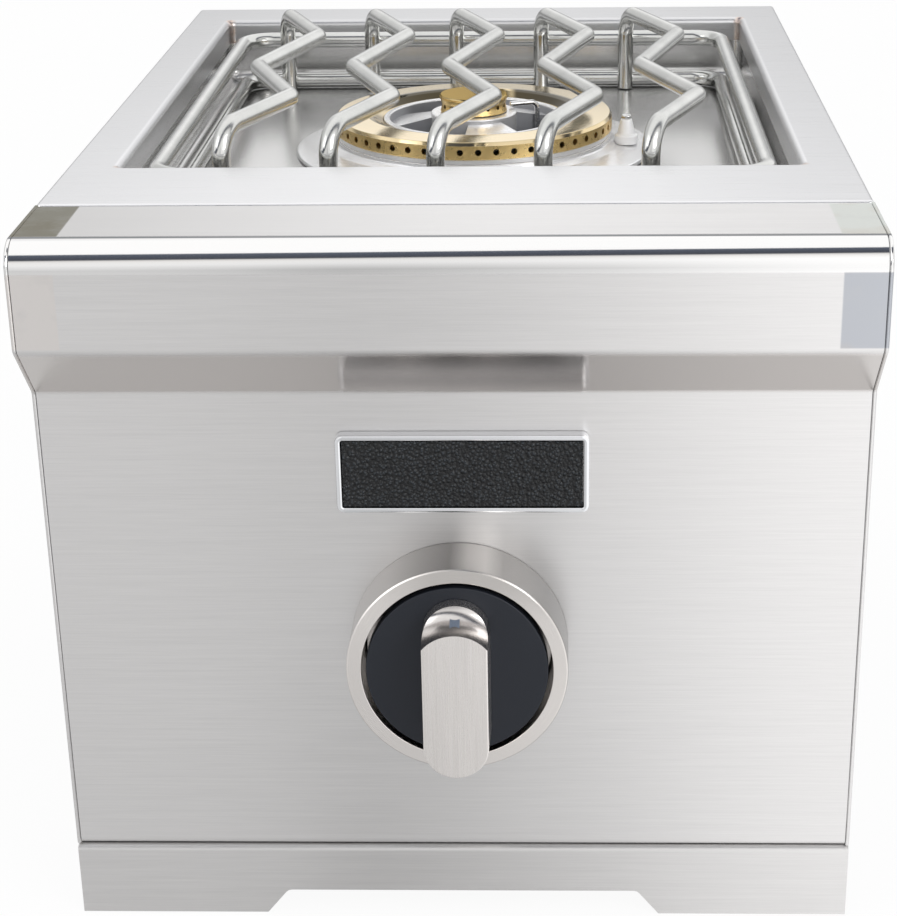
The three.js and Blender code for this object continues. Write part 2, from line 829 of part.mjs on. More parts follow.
// Cast body: an outer trough for the flame ring and a hub on three spokes for the cap
function addBurnerBody() {
  const rim = shoulderTop + innerWallRise;
  const trough = revolveZ(closedProfile([
    [bodyOuterRadius, bodyBottom],
    [bodyOuterRadius, shoulderTop - bodyShoulder],
    [bodyShoulderRadius, shoulderTop - bodyShoulder],
    [bodyShoulderRadius, shoulderTop],
    [troughOuterRadius, shoulderTop],
    [troughOuterRadius, hubBottom],
    [innerWallOuterRadius, hubBottom],
    [innerWallOuterRadius, rim],
    [innerWallRadius, rim],
    [innerWallRadius, bodyBottom],
  ]), burnerSides);
  const hub = revolveZ(closedProfile([
    [hubBore, hubBottom],
    [hubRadius, hubBottom],
    [hubRadius, hubTop],
    [hubBore, hubTop],
  ]), hubSides);
  const spokeInner = (hubBore + hubRadius) / 2;
  const spokeOuter = innerWallRadius + innerWall / 2;
  const spokeCone = revolveZ(closedProfile([
    [spokeInner, hubBottom + spokeBottomRise],
    [spokeOuter, hubBottom + spokeBottomRise],
    [spokeOuter, hubTop - spokeTopDrop - spokeFall],
    [spokeInner, hubTop - spokeTopDrop],
  ]), burnerSides);
  const spokes = Array.from({ length: spokeCount }, (_, index) => {
    const middle = (spokeTurnShare + index / spokeCount) * 2 * Math.PI;
    const half = spokeWidthShare * Math.PI;
    const reach = innerWallOuterRadius / Math.cos(half);
    const wedge = [[0, centreY], ...[middle - half, middle + half].map((angle) => [
      reach * Math.cos(angle), centreY + reach * Math.sin(angle)])];
    return spokeCone.intersect(prismZ(wedge, bodyBottom, hubTop));
  });
  const port = prismZ(circle(outerVenturiX, centreY, troughPortRadius, smallSides),
    bodyBottom - overrun, hubBottom + overrun);
  addPiece('burner_body', join(trough.subtract(port), [hub, ...spokes]), castAluminium);
}

// Brass flame ring, which rests on the body's shoulder and vents through a row of ports
function addFlameRing() {
  const bottom = shoulderTop + gap;
  const innerRadius = innerWallOuterRadius + gap;
  const band = flameRingRadius - innerRadius;
  const placed = (shares) => shares.map(([across, up]) => [
    innerRadius + across * band, bottom + up * flameRingHeight]);
  const profile = placed([...flameRingOuterShares, ...flameRingInnerShares, [flameRingFootShare, 0]]);
  const ring = revolveZ(closedProfile(profile), flamePortCount);
  const ports = radialHoles(flamePortCount, flamePortTurnShare, flamePortDiameter, bottom + flamePortRaise,
    innerRadius + flameRingFootShare * band - overrun, flameRingRadius + overrun);
  addPiece('flame_ring', cut(ring, ports), brass);
}

function addBurnerCap() {
  const seat = hubTop + gap;
  const top = seat + capHeight;
  const spigot = hubBore - gap;
  const rimFoot = top - capRimHeight;
  const chamber = capWaist - capWall;
  const profile = [
    [0, top - capRoof],
    [chamber, top - capRoof],
    [chamber, seat + capFloor],
    [spigot - capSpigotWall, seat + capFloor],
    [spigot - capSpigotWall, seat - capSpigotDepth],
    [spigot, seat - capSpigotDepth],
    [spigot, seat],
    [capWaist, seat],
    [capWaist, rimFoot - (capRadius - capWaist)],
    [capRadius, rimFoot],
    [capRadius, top - capRimRound],
    [capRadius - capRimRound, top],
    [0, top],
  ];
  const ports = radialHoles(capPortCount, capPortTurnShare, capPortDiameter, seat + capPortRaise,
    chamber - capWall / 2, capRadius + overrun);
  addPiece('burner_cap', cut(revolveZ(profile, hubSides), ports), brass);
}

function addElectrodes() {
  const foot = baseBottom + insulatorPocket + gap;
  const collarTop = foot + insulatorCollarHeight;
  const coneTop = collarTop + insulatorConeHeight;
  const insulator = [
    [0, foot - insulatorStemDrop],
    [insulatorRadius, foot - insulatorStemDrop],
    [insulatorRadius, foot],
    [insulatorCollar, foot],
    [insulatorCollar, collarTop],
    [insulatorConeFoot, collarTop],
    [insulatorConeTop, coneTop],
    [0, coneTop],
  ];
  addPiece('electrode_insulator', revolveZ(insulator, smallSides, electrodeX, electrodeY), ceramic);
  const tipOutline = circle(electrodeX, electrodeY, tipRadius, smallSides);
  addPiece('electrode_tip', prismZ(tipOutline, coneTop + gap, coneTop + gap + tipHeight), brushedSteel);

  const angle = wireTurnShare * 2 * Math.PI;
  const at = (radius, z) => [radius * Math.cos(angle), centreY + radius * Math.sin(angle), z];
  const wireTop = panFloorTop + wireRise;
  addPiece('inner_electrode_wire', bentRod([
    at(wireReach, panFloorTop - wireDrop),
    [...at(wireReach, wireTop), wireBend],
    at(capRadius + sparkGap, wireTop),
  ], wireDiameter / 2, rodSides), brushedSteel);
}

// Knob: a fixed bezel cup, and a disc and lever on the valve's stem
function addBezel() {
  const inner = bezelRadius - bezelWall;
  const rear = -gap;
  const floor = rear - bezelFloor;
  const cup = revolveY(closedProfile([
    [bezelBore, rear],
    [bezelRadius, rear],
    [bezelRadius, bezelChamfer - bezelDepth],
    [bezelRadius - bezelChamfer, -bezelDepth],
    [inner, -bezelDepth],
    [inner, floor],
    [bezelBore, floor],
  ]), knobSides, knobX, knobZ);
  const places = [-1, 1].map((side) => knobX + side * bezelScrewReach);
  const holes = places.map((x) => prismY(
    circle(x, knobZ, screwHole, screwSides), floor - overrun, rear + overrun));
  addPiece('knob_bezel', cut(cup, holes), satinNickel);
  const screw = screwProfile(floor - gap, -1);
  addPiece('bezel_screw_left', revolveY(screw, screwSides, places[0], knobZ), brushedSteel);
  addPiece('bezel_screw_right', revolveY(screw, screwSides, places[1], knobZ), brushedSteel);
}

function addKnobDisc() {
  const radius = bezelRadius - bezelWall - discGroove;
  const bore = stemRadius + gap;
  const hubRear = discRear + knobHubDepth;
  const profile = [
    [0, discFront],
    [radius, discFront],
    [radius, discRear],
    [hubOfKnob, discRear],
    [hubOfKnob, hubRear],
    [bore, hubRear],
    [bore, hubRear - stemSocket - gap],
    [0, hubRear - stemSocket - gap],
  ];
  addPiece('knob_disc', revolveY(profile, knobSides, knobX, knobZ), knobBlack);
}

function addLever() {
  const leverRing = (inset, y) => roundedBox(
    knobX - leverHalfWidth + inset, knobX + leverHalfWidth - inset,
    knobZ - leverBottom + inset, knobZ + leverTop - inset, leverHalfWidth - inset, roundSteps,
  ).map(([x, z]) => [x, y, z]);
  const bar = loft([
    leverRing(0, leverBase),
    leverRing(leverDraft, leverFront + leverEdge),
    leverRing(leverDraft + leverEdge, leverFront),
  ], false);

  // The scoop keeps what lies inside a flared surface about an axis through the lever
  const scoopZ = knobZ + scoopRaise;
  const flare = leverTop - scoopRaise - scoopFaceRadius;
  const scoopRear = leverFront + scoopDepth;
  const outside = leverTop + overrun;
  const scoopCurve = quarterTurns(roundSteps, (angle) => [
    scoopFaceRadius + flare * (1 - Math.cos(angle)), leverFront + scoopDepth * Math.sin(angle)]);
  const flared = revolveY(closedProfile([
    [scoopFaceRadius, leverFront - overrun],
    ...scoopCurve,
    [outside, scoopRear],
    [outside, leverFront - overrun],
  ]), burnerSides, knobX, scoopZ);
  const upper = prismY(box(knobX - outside, knobX + outside, scoopZ, scoopZ + outside),
    leverFront - 2 * overrun, leverBase);
  const undercut = prismY(
    box(knobX - outside, knobX + outside, knobZ - leverBottom - overrun, knobZ - undercutStart),
    leverBase - undercutDepth, leverBase + overrun);

  // The pointer is let into the scoop, square to its surface
  const turn = pointerTurnShare * 2 * Math.PI;
  const across = flare * Math.sin(turn);
  const along = scoopDepth * Math.cos(turn);
  const tilt = Math.atan2(across, along);
  const depth = pointerThickness / 2 - pointerProud;
  const pointerPlace = [
    knobX,
    leverFront + scoopDepth * Math.sin(turn) + depth * Math.sin(tilt),
    scoopZ + scoopFaceRadius + flare * (1 - Math.cos(turn)) - depth * Math.cos(tilt),
  ];
  const block = (grown) => toSolid(
    new THREE.BoxGeometry(pointerWidth + grown, pointerLength + grown, pointerThickness + grown)
      .rotateX(tilt).translate(...pointerPlace));
  addPiece('knob_lever', cut(bar, [flared.intersect(upper), undercut, block(2 * gap)]), satinNickel);
  addPiece('knob_pointer', block(0), markGrey);
}

// Valve behind the panel, with the sprung stem that the knob turns
function addStem() {
  const front = discRear + knobHubDepth - stemSocket;
  const rear = bonnetFront + bonnetBore - knobTravel - 2 * gap;
  addPiece('valve_stem', prismY(circle(knobX, knobZ, stemRadius, smallSides), front, rear), brushedSteel);
  const washerRear = washerY + washerThickness;
  const washerHole = circle(knobX, knobZ, stemRadius + gap, smallSides);
  const washerOutline = circle(knobX, knobZ, washerRadius, smallSides);
  addPiece('stem_washer', prismY(washerOutline, washerY, washerRear, [washerHole]), galvanisedSteel);

  const springStart = washerRear + gap + springWire / 2;
  const springEnd = bracketReach - sheet - gap - springWire / 2;
  const rise = springEnd - springStart;
  const count = springCurls * curlSteps;
  const stations = Array.from({ length: count + 1 }, (_, index) => {
    const angle = index * 2 * Math.PI / curlSteps;
    const place = new THREE.Vector3(knobX + springRadius * Math.cos(angle),
      springStart + rise * index / count, knobZ + springRadius * Math.sin(angle));
    const tangent = new THREE.Vector3(-Math.sin(angle) * springRadius,
      rise / (2 * Math.PI * springCurls), Math.cos(angle) * springRadius).normalize();
    return { point: place, tangent };
  });
  addPiece('knob_spring', sweptRod(stations, springWire / 2, curlSides), brushedSteel);
  const steps = stations.slice(curlSteps).map(({ point }, index) => point.distanceTo(stations[index].point));
  console.log('least gap between the curls of the spring', Math.min(...steps) - springWire);
}

function addValve() {
  const plateFront = bracketReach - sheet;
  const halfOuter = bracketHalfWidth + bracketFlange;
  const hat = foldedSheet([
    [knobX - halfOuter, housingFront],
    [knobX - bracketHalfWidth, housingFront, sheetBend],
    [knobX - bracketHalfWidth, plateFront, sheetBend],
    [knobX + bracketHalfWidth, plateFront, sheetBend],
    [knobX + bracketHalfWidth, housingFront, sheetBend],
    [knobX + halfOuter, housingFront],
  ]);
  const bracket = prismZ(hat, knobZ - bracketHeight / 2, knobZ + bracketHeight / 2);
  const screwPlaces = [-1, 1].map((side) => knobX + side * valveScrewReach);
  const screwHoles = (places, front, rear) => places.map(
    (x) => prismY(circle(x, knobZ, screwHole, screwSides), front, rear));
  const bezelScrewPlaces = [-1, 1].map((side) => knobX + side * bezelScrewReach);
  addPiece('valve_bracket', cut(bracket, [
    prismY(circle(knobX, knobZ, stemRadius + 2 * gap, smallSides), plateFront - overrun, bonnetFront),
    ...screwHoles(screwPlaces, plateFront - overrun, bonnetFront),
    ...screwHoles(bezelScrewPlaces, 0, housingFront + overrun),
  ]), galvanisedSteel);

  const about = (halfX, halfZ) => box(knobX - halfX, knobX + halfX, knobZ - halfZ, knobZ + halfZ);
  const bonnet = prismY(circle(knobX, knobZ, bonnetRadius, smallSides), bonnetFront, valveFront + valveWall);
  const lugs = prismY(about(lugWidth / 2, lugHeight / 2), bonnetFront, bonnetFront + lugThickness);
  const block = prismY(about(valveWidth / 2, valveWidth / 2), valveFront, valveRear);
  const bore = prismY(circle(knobX, knobZ, stemRadius + gap, smallSides),
    bonnetFront - overrun, bonnetFront + bonnetBore);
  const lugHoles = screwHoles(screwPlaces, bonnetFront - overrun, bonnetFront + lugThickness + gap);
  addPiece('valve_body', cut(join(block, [bonnet, lugs]), [bore, ...lugHoles]), brass);

  const screw = screwProfile(bonnetFront + lugThickness + gap, 1);
  addPiece('valve_screw_left', revolveY(screw, screwSides, screwPlaces[0], knobZ), brushedSteel);
  addPiece('valve_screw_right', revolveY(screw, screwSides, screwPlaces[1], knobZ), brushedSteel);
}

// Gas train: tubes from the valve to two orifices, each facing its own venturi
function addVenturi(name, x, z, top, radius) {
  const bore = radius - venturiWall;
  const tube = bentRod([[x, centreY, top], [x, centreY, z, venturiBend], [x, mouthY, z]], radius, smallSides);
  const windowFront = mouthY + windowInset;
  const window = box(windowFront, windowFront + windowLength, z - windowHeight / 2, z + windowHeight / 2);
  const windows = prismX(window, x - radius - overrun, x + radius + overrun);
  addPiece(`venturi_${name}`, cut(tube, [
    prismY(circle(x, z, bore, smallSides), mouthY - overrun, mouthY + venturiBoreDepth),
    prismZ(circle(x, centreY, bore, smallSides), top - venturiTopBore, top + overrun),
    windows,
  ]), galvanisedSteel);

  const sleeveBore = clearOf(radius, smallSides);
  const sleeve = prismY(circle(x, z, sleeveBore + shutterWall, smallSides), mouthY, mouthY + shutterLength,
    [circle(x, z, sleeveBore, smallSides)]);
  addPiece(`air_shutter_${name}`, sleeve.subtract(windows), galvanisedSteel);

  const orificeRear = mouthY - orificeStandoff;
  const orifice = circle(x, z, orificeRadius, smallSides);
  addPiece(`${name}_orifice`, prismY(orifice, orificeRear - orificeLength, orificeRear), brass);
}

function addGasTrain() {
  addVenturi('outer', outerVenturiX, outerVenturiZ, bodyBottom - gap, outerVenturiRadius);
  addVenturi('inner', 0, innerVenturiZ, hubBottom - gap, innerVenturiRadius);

  const orificeFront = mouthY - orificeStandoff - orificeLength;
  const plateFront = orificeFront + orificePlateInset;
  const plateOutline = box(outerVenturiX - orificePlateMargin, orificePlateMargin,
    innerVenturiZ - orificePlateMargin, panFloorBottom - gap);
  const plateHoles = [[outerVenturiX, outerVenturiZ], [0, innerVenturiZ]].map(
    ([x, z]) => circle(x, z, orificeRadius + gap, smallSides));
  const plate = prismY(plateOutline, plateFront, plateFront + orificePlate, plateHoles);
  addPiece('orifice_bracket', plate, galvanisedSteel);

  const tubeFoot = valveTop + gap;
  const tubeEnd = orificeFront - gap;
  [
    ['outer_gas_tube', -gasTubeSpread, outerVenturiX, outerVenturiZ],
    ['inner_gas_tube', gasTubeSpread, 0, innerVenturiZ],
  ].forEach(([name, shift, x, z]) => addPiece(name, bentRod([
    [knobX + shift, tubeY, tubeFoot],
    [knobX + shift, tubeY, z, gasTubeBend],
    [x, tubeY + gasTubeReach, z, gasTubeBend],
    [x, tubeEnd, z],
  ], gasTubeRadius, rodSides), brass));

  const portZ = knobZ - supplyPortDrop;
  const neckFront = housingRear - inletNeck;
  addPiece('supply_tube', bentRod([
    [supplyX, neckFront - gap, supplyRaise],
    [supplyX, supplyTurnY, supplyRaise, supplyBend],
    [knobX, supplyTurnY, supplyRaise, supplyBend],
    [knobX, supplyTurnY, portZ, supplyBend],
    [knobX, valveRear + gap, portZ],
  ], supplyRadius, rodSides), brushedSteel);

  const hexFront = housingRear + gap;
  const hexRear = hexFront + inletHexLength;
  const about = (radius, sides) => circle(supplyX, supplyRaise, radius, sides);
  const hexOutline = about(inletHexAcross / 2 / Math.cos(Math.PI / hexSides), hexSides);
  const neck = prismY(about(inletNeckRadius, smallSides), neckFront, hexFront + gap);
  const stub = prismY(about(inletStubRadius, smallSides), hexRear - gap, hexRear + inletStub);
  const bore = prismY(about(inletBore, smallSides), neckFront - overrun, hexRear + inletStub + overrun);
  const fitting = join(prismY(hexOutline, hexFront, hexRear), [neck, stub]).subtract(bore);
  addPiece('inlet_fitting', fitting, brass);
}

function addSparkModule() {
  const right = housingInner - gap;
  const left = right - moduleWidth;
  const top = panFloorBottom - moduleDrop;
  const outline = roundedBox(left, right, moduleY, moduleY + moduleDepth, leadRadius);
  addPiece('spark_module', prismZ(outline, top - moduleHeight, top), moduleBlack);

  const middleX = (left + right) / 2;
  const startY = moduleY + moduleDepth / 2;
  const angle = wireTurnShare * 2 * Math.PI;
  const insulatorFoot = baseBottom + insulatorPocket + gap - insulatorStemDrop;
  [
    ['ignition_lead', 1, electrodeX, electrodeY, insulatorFoot],
    ['inner_ignition_lead', -1, wireReach * Math.cos(angle), centreY + wireReach * Math.sin(angle),
      panFloorTop - wireDrop],
  ].forEach(([name, side, x, y, end]) => addPiece(name, bentRod([
    [middleX + side * leadSpacing / 2, startY, top + gap],
    [middleX + side * leadSpacing / 2, startY, leadLevel, leadBend],
    [x, y, leadLevel, leadBend],
    [x, y, end - gap],
  ], leadRadius, leadSides), leadOrange));
}

function addNamePlate() {
  const bezelTop = knobZ + bezelRadius;
  const plateZ = bezelTop + plateHeightShare * (faceTop - bezelTop);
  const outline = (inset) => roundedBox(
    plateX - plateWidth / 2 + inset, plateX + plateWidth / 2 - inset,
    plateZ - plateHeight / 2 + inset, plateZ + plateHeight / 2 - inset,
    Math.max(plateCorner - inset, leastCorner));
  const rear = -gap;
  const front = rear - plateThickness;
  addPiece('nameplate_frame', prismY(outline(0), front, rear, [outline(plateRim)]), chrome);
  addPiece('nameplate_insert', prismY(outline(plateRim + gap), front + plateRecess, rear), plateBlack);
}

addFrontPanel();
addEndPlates();
addPlinths();
addTopDeck();
addBurnerPan();
addHousing();
addGrate();
addBurnerBase();
addBurnerBody();
addFlameRing();
addBurnerCap();
addElectrodes();
addBezel();
addKnobDisc();
addLever();
addStem();
addValve();
addGasTrain();
addSparkModule();
addNamePlate();

model.position.y = -(leverFront + deckRear) / 2;

export default model;
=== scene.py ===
import json
import math

import bmesh
import bpy
from mathutils import Matrix, Vector


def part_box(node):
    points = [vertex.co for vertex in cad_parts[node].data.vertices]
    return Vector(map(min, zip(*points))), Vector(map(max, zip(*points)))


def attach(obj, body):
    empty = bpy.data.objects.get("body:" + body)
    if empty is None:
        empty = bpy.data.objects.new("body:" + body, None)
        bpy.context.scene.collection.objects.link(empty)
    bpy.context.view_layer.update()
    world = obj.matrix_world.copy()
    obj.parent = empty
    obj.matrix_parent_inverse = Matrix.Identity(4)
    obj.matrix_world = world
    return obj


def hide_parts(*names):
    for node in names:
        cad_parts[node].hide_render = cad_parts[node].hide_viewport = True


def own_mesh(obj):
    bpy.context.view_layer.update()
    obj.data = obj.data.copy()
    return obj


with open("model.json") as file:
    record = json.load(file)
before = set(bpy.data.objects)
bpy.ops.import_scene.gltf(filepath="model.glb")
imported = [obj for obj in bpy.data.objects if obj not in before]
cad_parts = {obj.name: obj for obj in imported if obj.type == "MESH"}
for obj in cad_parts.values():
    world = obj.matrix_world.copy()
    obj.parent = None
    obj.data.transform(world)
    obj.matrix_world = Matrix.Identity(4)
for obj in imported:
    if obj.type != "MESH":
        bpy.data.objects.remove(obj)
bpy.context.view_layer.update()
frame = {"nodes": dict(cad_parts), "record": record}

# Lengths are millimetres in the CAD source's frame, where the panel's face is at Y 0.
# The shared frame is centred on the part, so its Y is smaller by FRAME_SHIFT.
MM = 0.001
FRAME_SHIFT = 206.0

SHEET = 1.5  # thickness of the folded sheets
SHEET_BEND = 3.0  # outer radius of their folds
LIP = 12.0  # width of their turned lips
GAP = 0.3  # clearance between neighbours
FAR = 40.0  # how far a cutter runs past what it cuts

HALF_WIDTH = 160.0
DECK_TOP = 296.0
SEAM_Y = 34.0  # where the panel's top strip meets the deck
DECK_REAR = 457.0
OPENING_HALF = 138.4
OPENING_FRONT = 94.0
OPENING_REAR = 421.0
OPENING = (OPENING_HALF, OPENING_FRONT, OPENING_REAR, SHEET_BEND)
PAN_FLOOR = 263.7

APRON_Y = -22.0
APRON_BOTTOM = 255.3
FACE_TOP = 232.0
FACE_BOTTOM = 33.1
BULLNOSE = 11.0
PATCH_X = 142.3  # where the panel's ground patches begin

ROD = 4.0
BAR_TOP = 304.7

CENTRE_Y = 257.5
AXIS = (0.0, CENTRE_Y)
BASE_FOOT = PAN_FLOOR + GAP
BASE_RIM = BASE_FOOT + 7.5
BASE_SCREW_Y = 78.0
BODY_FOOT = BASE_FOOT - 9
BODY_FLOOR = BODY_FOOT + 3
SHOULDER = 273.8  # where the flame ring rests
HUB_TOP = SHOULDER + 8.2
RING_INNER = 43.3
RING_OUTER = 65.8
RING_HEIGHT = 8.1
BAND_SHARE = 0.77  # height of the ring's ported band, as a share of its height
ELECTRODE = (72.6, CENTRE_Y - 4.5)
ELECTRODE_HOLE = 3.3

KNOB_X = 1.0
KNOB_Z = 126.98
KNOB = (KNOB_X, KNOB_Z)
BEZEL_RADIUS = 43.0
BEZEL_FRONT = -26.0
BEZEL_SCREWS = [(KNOB_X + side * 30, KNOB_Z, 2.3, -FAR, FAR, 24) for side in (-1, 1)]


# Mesh building

def place(x, y, z):
    return Vector((x, y - FRAME_SHIFT, z)) * MM


def framed(y):
    return y - FRAME_SHIFT


def fillet_arc(before, corner, after, radius, finest):
    """Points of the round bend of a corner between two straight runs."""
    run_in = (corner - before).normalized()
    run_out = (after - corner).normalized()
    turn = run_in.angle(run_out)
    if turn < 1e-4 or radius <= 0:
        return [corner]
    start = corner - run_in * radius * math.tan(turn / 2)
    pivot = run_in.cross(run_out).normalized()
    inward = pivot.cross(run_in).normalized()
    centre = start + inward * radius
    steps = max(2, math.ceil(turn / finest))
    return [
        centre - (Matrix.Rotation(turn * step / steps, 3, pivot) @ inward) * radius
        for step in range(steps + 1)
    ]


def rounded_path(corners, closed=False, finest=math.pi / 24):
    """Points of a path through places in two or three dimensions, each with an optional bend."""
    size = 2 if all(len(c) <= 3 for c in corners) else 3
    places = [Vector((*c[:size], 0.0)[:3]) for c in corners]
    bends = [c[size] if len(c) > size else 0.0 for c in corners]
    points = []
    last = len(places) - 1
    for index, corner in enumerate(places):
        if closed or 0 < index < last:
            after = places[0 if index == last else index + 1]
            points += fillet_arc(places[index - 1], corner, after, bends[index], finest)
        else:
            points.append(corner)
    return points


def flat_path(corners, closed=False, finest=math.pi / 24):
    return [(p.x, p.y) for p in rounded_path(corners, closed, finest)]


def solid(name, points, faces):
    """Object of a closed mesh, with its doubles merged and its faces turned outward."""
    mesh = bpy.data.meshes.new(name)
    mesh.from_pydata([place(*p) for p in points], [], faces)
    work = bmesh.new()
    work.from_mesh(mesh)
    bmesh.ops.remove_doubles(work, verts=work.verts, dist=1e-7)
    bmesh.ops.dissolve_degenerate(work, edges=work.edges, dist=1e-8)
    bmesh.ops.recalc_face_normals(work, faces=work.faces)
    work.to_mesh(mesh)
    work.free()
    return shown(name, mesh)


def shown(name, data):
    made = bpy.data.objects.new(name, data)
    bpy.context.scene.collection.objects.link(made)
    return made


def loft(name, rings, endless=False):
    """Skin over rings of points, closed on itself or with a face at each end."""
    count = len(rings[0])
    points = [p for ring in rings for p in ring]
    faces = []
    for band in range(len(rings) if endless else len(rings) - 1):
        low, high = band * count, (band + 1) % len(rings) * count
        for spot in range(count):
            after = (spot + 1) % count
            faces.append((low + spot, low + after, high + after, high + spot))
    if not endless:
        faces.append(tuple(range(count - 1, -1, -1)))
        faces.append(tuple(range(len(points) - count, len(points))))
    return solid(name, points, faces)


def prism(name, outline, low, high, axis):
    """Outline extruded along X, Y or Z between two places."""
    turn = {
        "X": lambda a, b, c: (c, a, b),
        "Y": lambda a, b, c: (a, c, b),
        "Z": lambda a, b, c: (a, b, c),
    }[axis]
    return loft(name, [[turn(a, b, c) for a, b in outline] for c in (low, high)])


def lathe(name, profile, axis, centre, sides):
    """Closed profile of radius and place along the axis, revolved about it."""
    rings = []
    for across, up in circle(0, 0, 1, sides):
        spots = [(centre[0] + r * across, centre[1] + r * up, h) for r, h in profile]
        rings.append(spots if axis == "Z" else [(a, h, b) for a, b, h in spots])
    return loft(name, rings, endless=True)


def circle(a, b, radius, sides=48):
    turns = [index * 2 * math.pi / sides for index in range(sides)]
    return [(a + radius * math.cos(turn), b + radius * math.sin(turn)) for turn in turns]


def rectangle(low_a, high_a, low_b, high_b, corner=0.0, finest=math.pi / 24):
    corners = [(low_a, low_b), (high_a, low_b), (high_a, high_b), (low_a, high_b)]
    return flat_path([(a, b, corner) for a, b in corners], True, finest)


def sweep(name, path, radius, sides=32, closed=False, end_round=0.6):
    """Round rod along a path, its section carried along without twist."""
    last = len(path) - 1
    rings = []
    side = Vector((0, 0, 1)) if closed else (path[1] - path[0]).orthogonal()
    for index, spot in enumerate(path):
        before = path[index - 1] if index or closed else spot
        after = path[0] if closed and index == last else path[min(index + 1, last)]
        tangent = (after - before).normalized()
        side = (side - tangent * side.dot(tangent)).normalized()
        other = tangent.cross(side)

        def ring(along, size):
            middle = spot + tangent * along
            return [tuple(middle + side * a + other * b) for a, b in circle(0, 0, size, sides)]

        if not closed and index == 0:
            rings += [ring(0, radius - end_round), ring(end_round, radius)]
        elif not closed and index == last:
            rings += [ring(-end_round, radius), ring(0, radius - end_round)]
        else:
            rings.append(ring(0, radius))
    return loft(name, rings, endless=closed)


def combine(target, others, operation):
    """Joins the others to the target or cuts them from it, and removes them."""
    for other in others:
        modifier = target.modifiers.new("combine", "BOOLEAN")
        modifier.operation = operation
        modifier.solver = "EXACT"
        modifier.object = other
        graph = bpy.context.evaluated_depsgraph_get()
        mesh = bpy.data.meshes.new_from_object(target.evaluated_get(graph))
        target.modifiers.clear()
        target.data = mesh
        bpy.data.objects.remove(other)


def drill(target, axis, *holes):
    """Cuts round holes, each given by its centre, radius, two ends and number of sides."""
    combine(target, [
        prism("hole", circle(a, b, radius, sides), low, high, axis)
        for a, b, radius, low, high, sides in holes
    ], "DIFFERENCE")


def bevelled(made, width, angle=40):
    modifier = made.modifiers.new("edges", "BEVEL")
    modifier.width = width * MM
    modifier.segments = 2
    modifier.limit_method = "ANGLE"
    modifier.angle_limit = math.radians(angle)


def dress(made, materials, body, nodes, sharp=32):
    """Materials, smooth shading, the body it rides on and the CAD nodes it stands for."""
    made.data.materials.clear()
    for material in materials:
        made.data.materials.append(material)
    made.data.shade_smooth()
    made.data.set_sharp_from_angle(angle=math.radians(sharp))
    weighted = made.modifiers.new("normals", "WEIGHTED_NORMAL")
    weighted.keep_sharp = True
    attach(made, body)
    if nodes:
        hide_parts(*nodes)


# Materials

class Nodes:
    """Shader nodes of one tree, where a value is a number, a colour or a node's output."""

    def __init__(self, tree):
        self.tree = tree

    def feed(self, target, value):
        if isinstance(value, bpy.types.NodeSocket):
            self.tree.links.new(value, target)
        else:
            target.default_value = value

    def node(self, kind, links=None, **settings):
        made = self.tree.nodes.new(kind)
        for key, value in settings.items():
            setattr(made, key, value)
        for socket, value in (links or {}).items():
            self.feed(made.inputs[socket], value)
        return made

    def math(self, operation, *values):
        made = self.node("ShaderNodeMath", dict(enumerate(values)), operation=operation)
        return made.outputs[0]

    def product(self, first, *others):
        for other in others:
            first = self.math("MULTIPLY", first, other)
        return first

    def length(self, a, b):
        square = self.math("ADD", self.math("MULTIPLY", a, a), self.math("MULTIPLY", b, b))
        return self.math("SQRT", square)

    def between(self, value, low, high, out_low=0.0, out_high=1.0, smooth=False):
        """Runs from out_low to out_high as the value runs from low to high."""
        ends = {"From Min": low, "From Max": high, "To Min": out_low, "To Max": out_high}
        made = self.node("ShaderNodeMapRange", {"Value": value, **ends},
                         interpolation_type="SMOOTHSTEP" if smooth else "LINEAR")
        return made.outputs[0]

    def span(self, value, low, high, out_low=0.0, out_high=1.0, smooth=False):
        """As between, with low and high in millimetres."""
        return self.between(value, low * MM, high * MM, out_low, out_high, smooth)

    def edge(self, value, at, width):
        """0 below an edge and 1 above it, over a width, both in millimetres."""
        return self.span(value, at - width / 2, at + width / 2, smooth=True)

    def ramp(self, value, *stops):
        made = self.node("ShaderNodeValToRGB", {"Fac": value})
        elements = made.color_ramp.elements
        elements[0].position, elements[0].color = stops[0][0], (*stops[0][1], 1)
        elements[1].position, elements[1].color = stops[-1][0], (*stops[-1][1], 1)
        for position, colour in stops[1:-1]:
            elements.new(position).color = (*colour, 1)
        return made.outputs["Color"]

    def mix(self, factor, one, other, blend="MIX"):
        made = self.node("ShaderNodeMix", data_type="RGBA", blend_type=blend)
        inputs = {socket.identifier: socket for socket in made.inputs}
        for name, value in (("Factor_Float", factor), ("A_Color", one), ("B_Color", other)):
            self.feed(inputs[name], (*value, 1) if isinstance(value, tuple) else value)
        return next(s for s in made.outputs if s.identifier == "Result_Color")

    def split(self, vector):
        return self.node("ShaderNodeSeparateXYZ", {"Vector": vector}).outputs


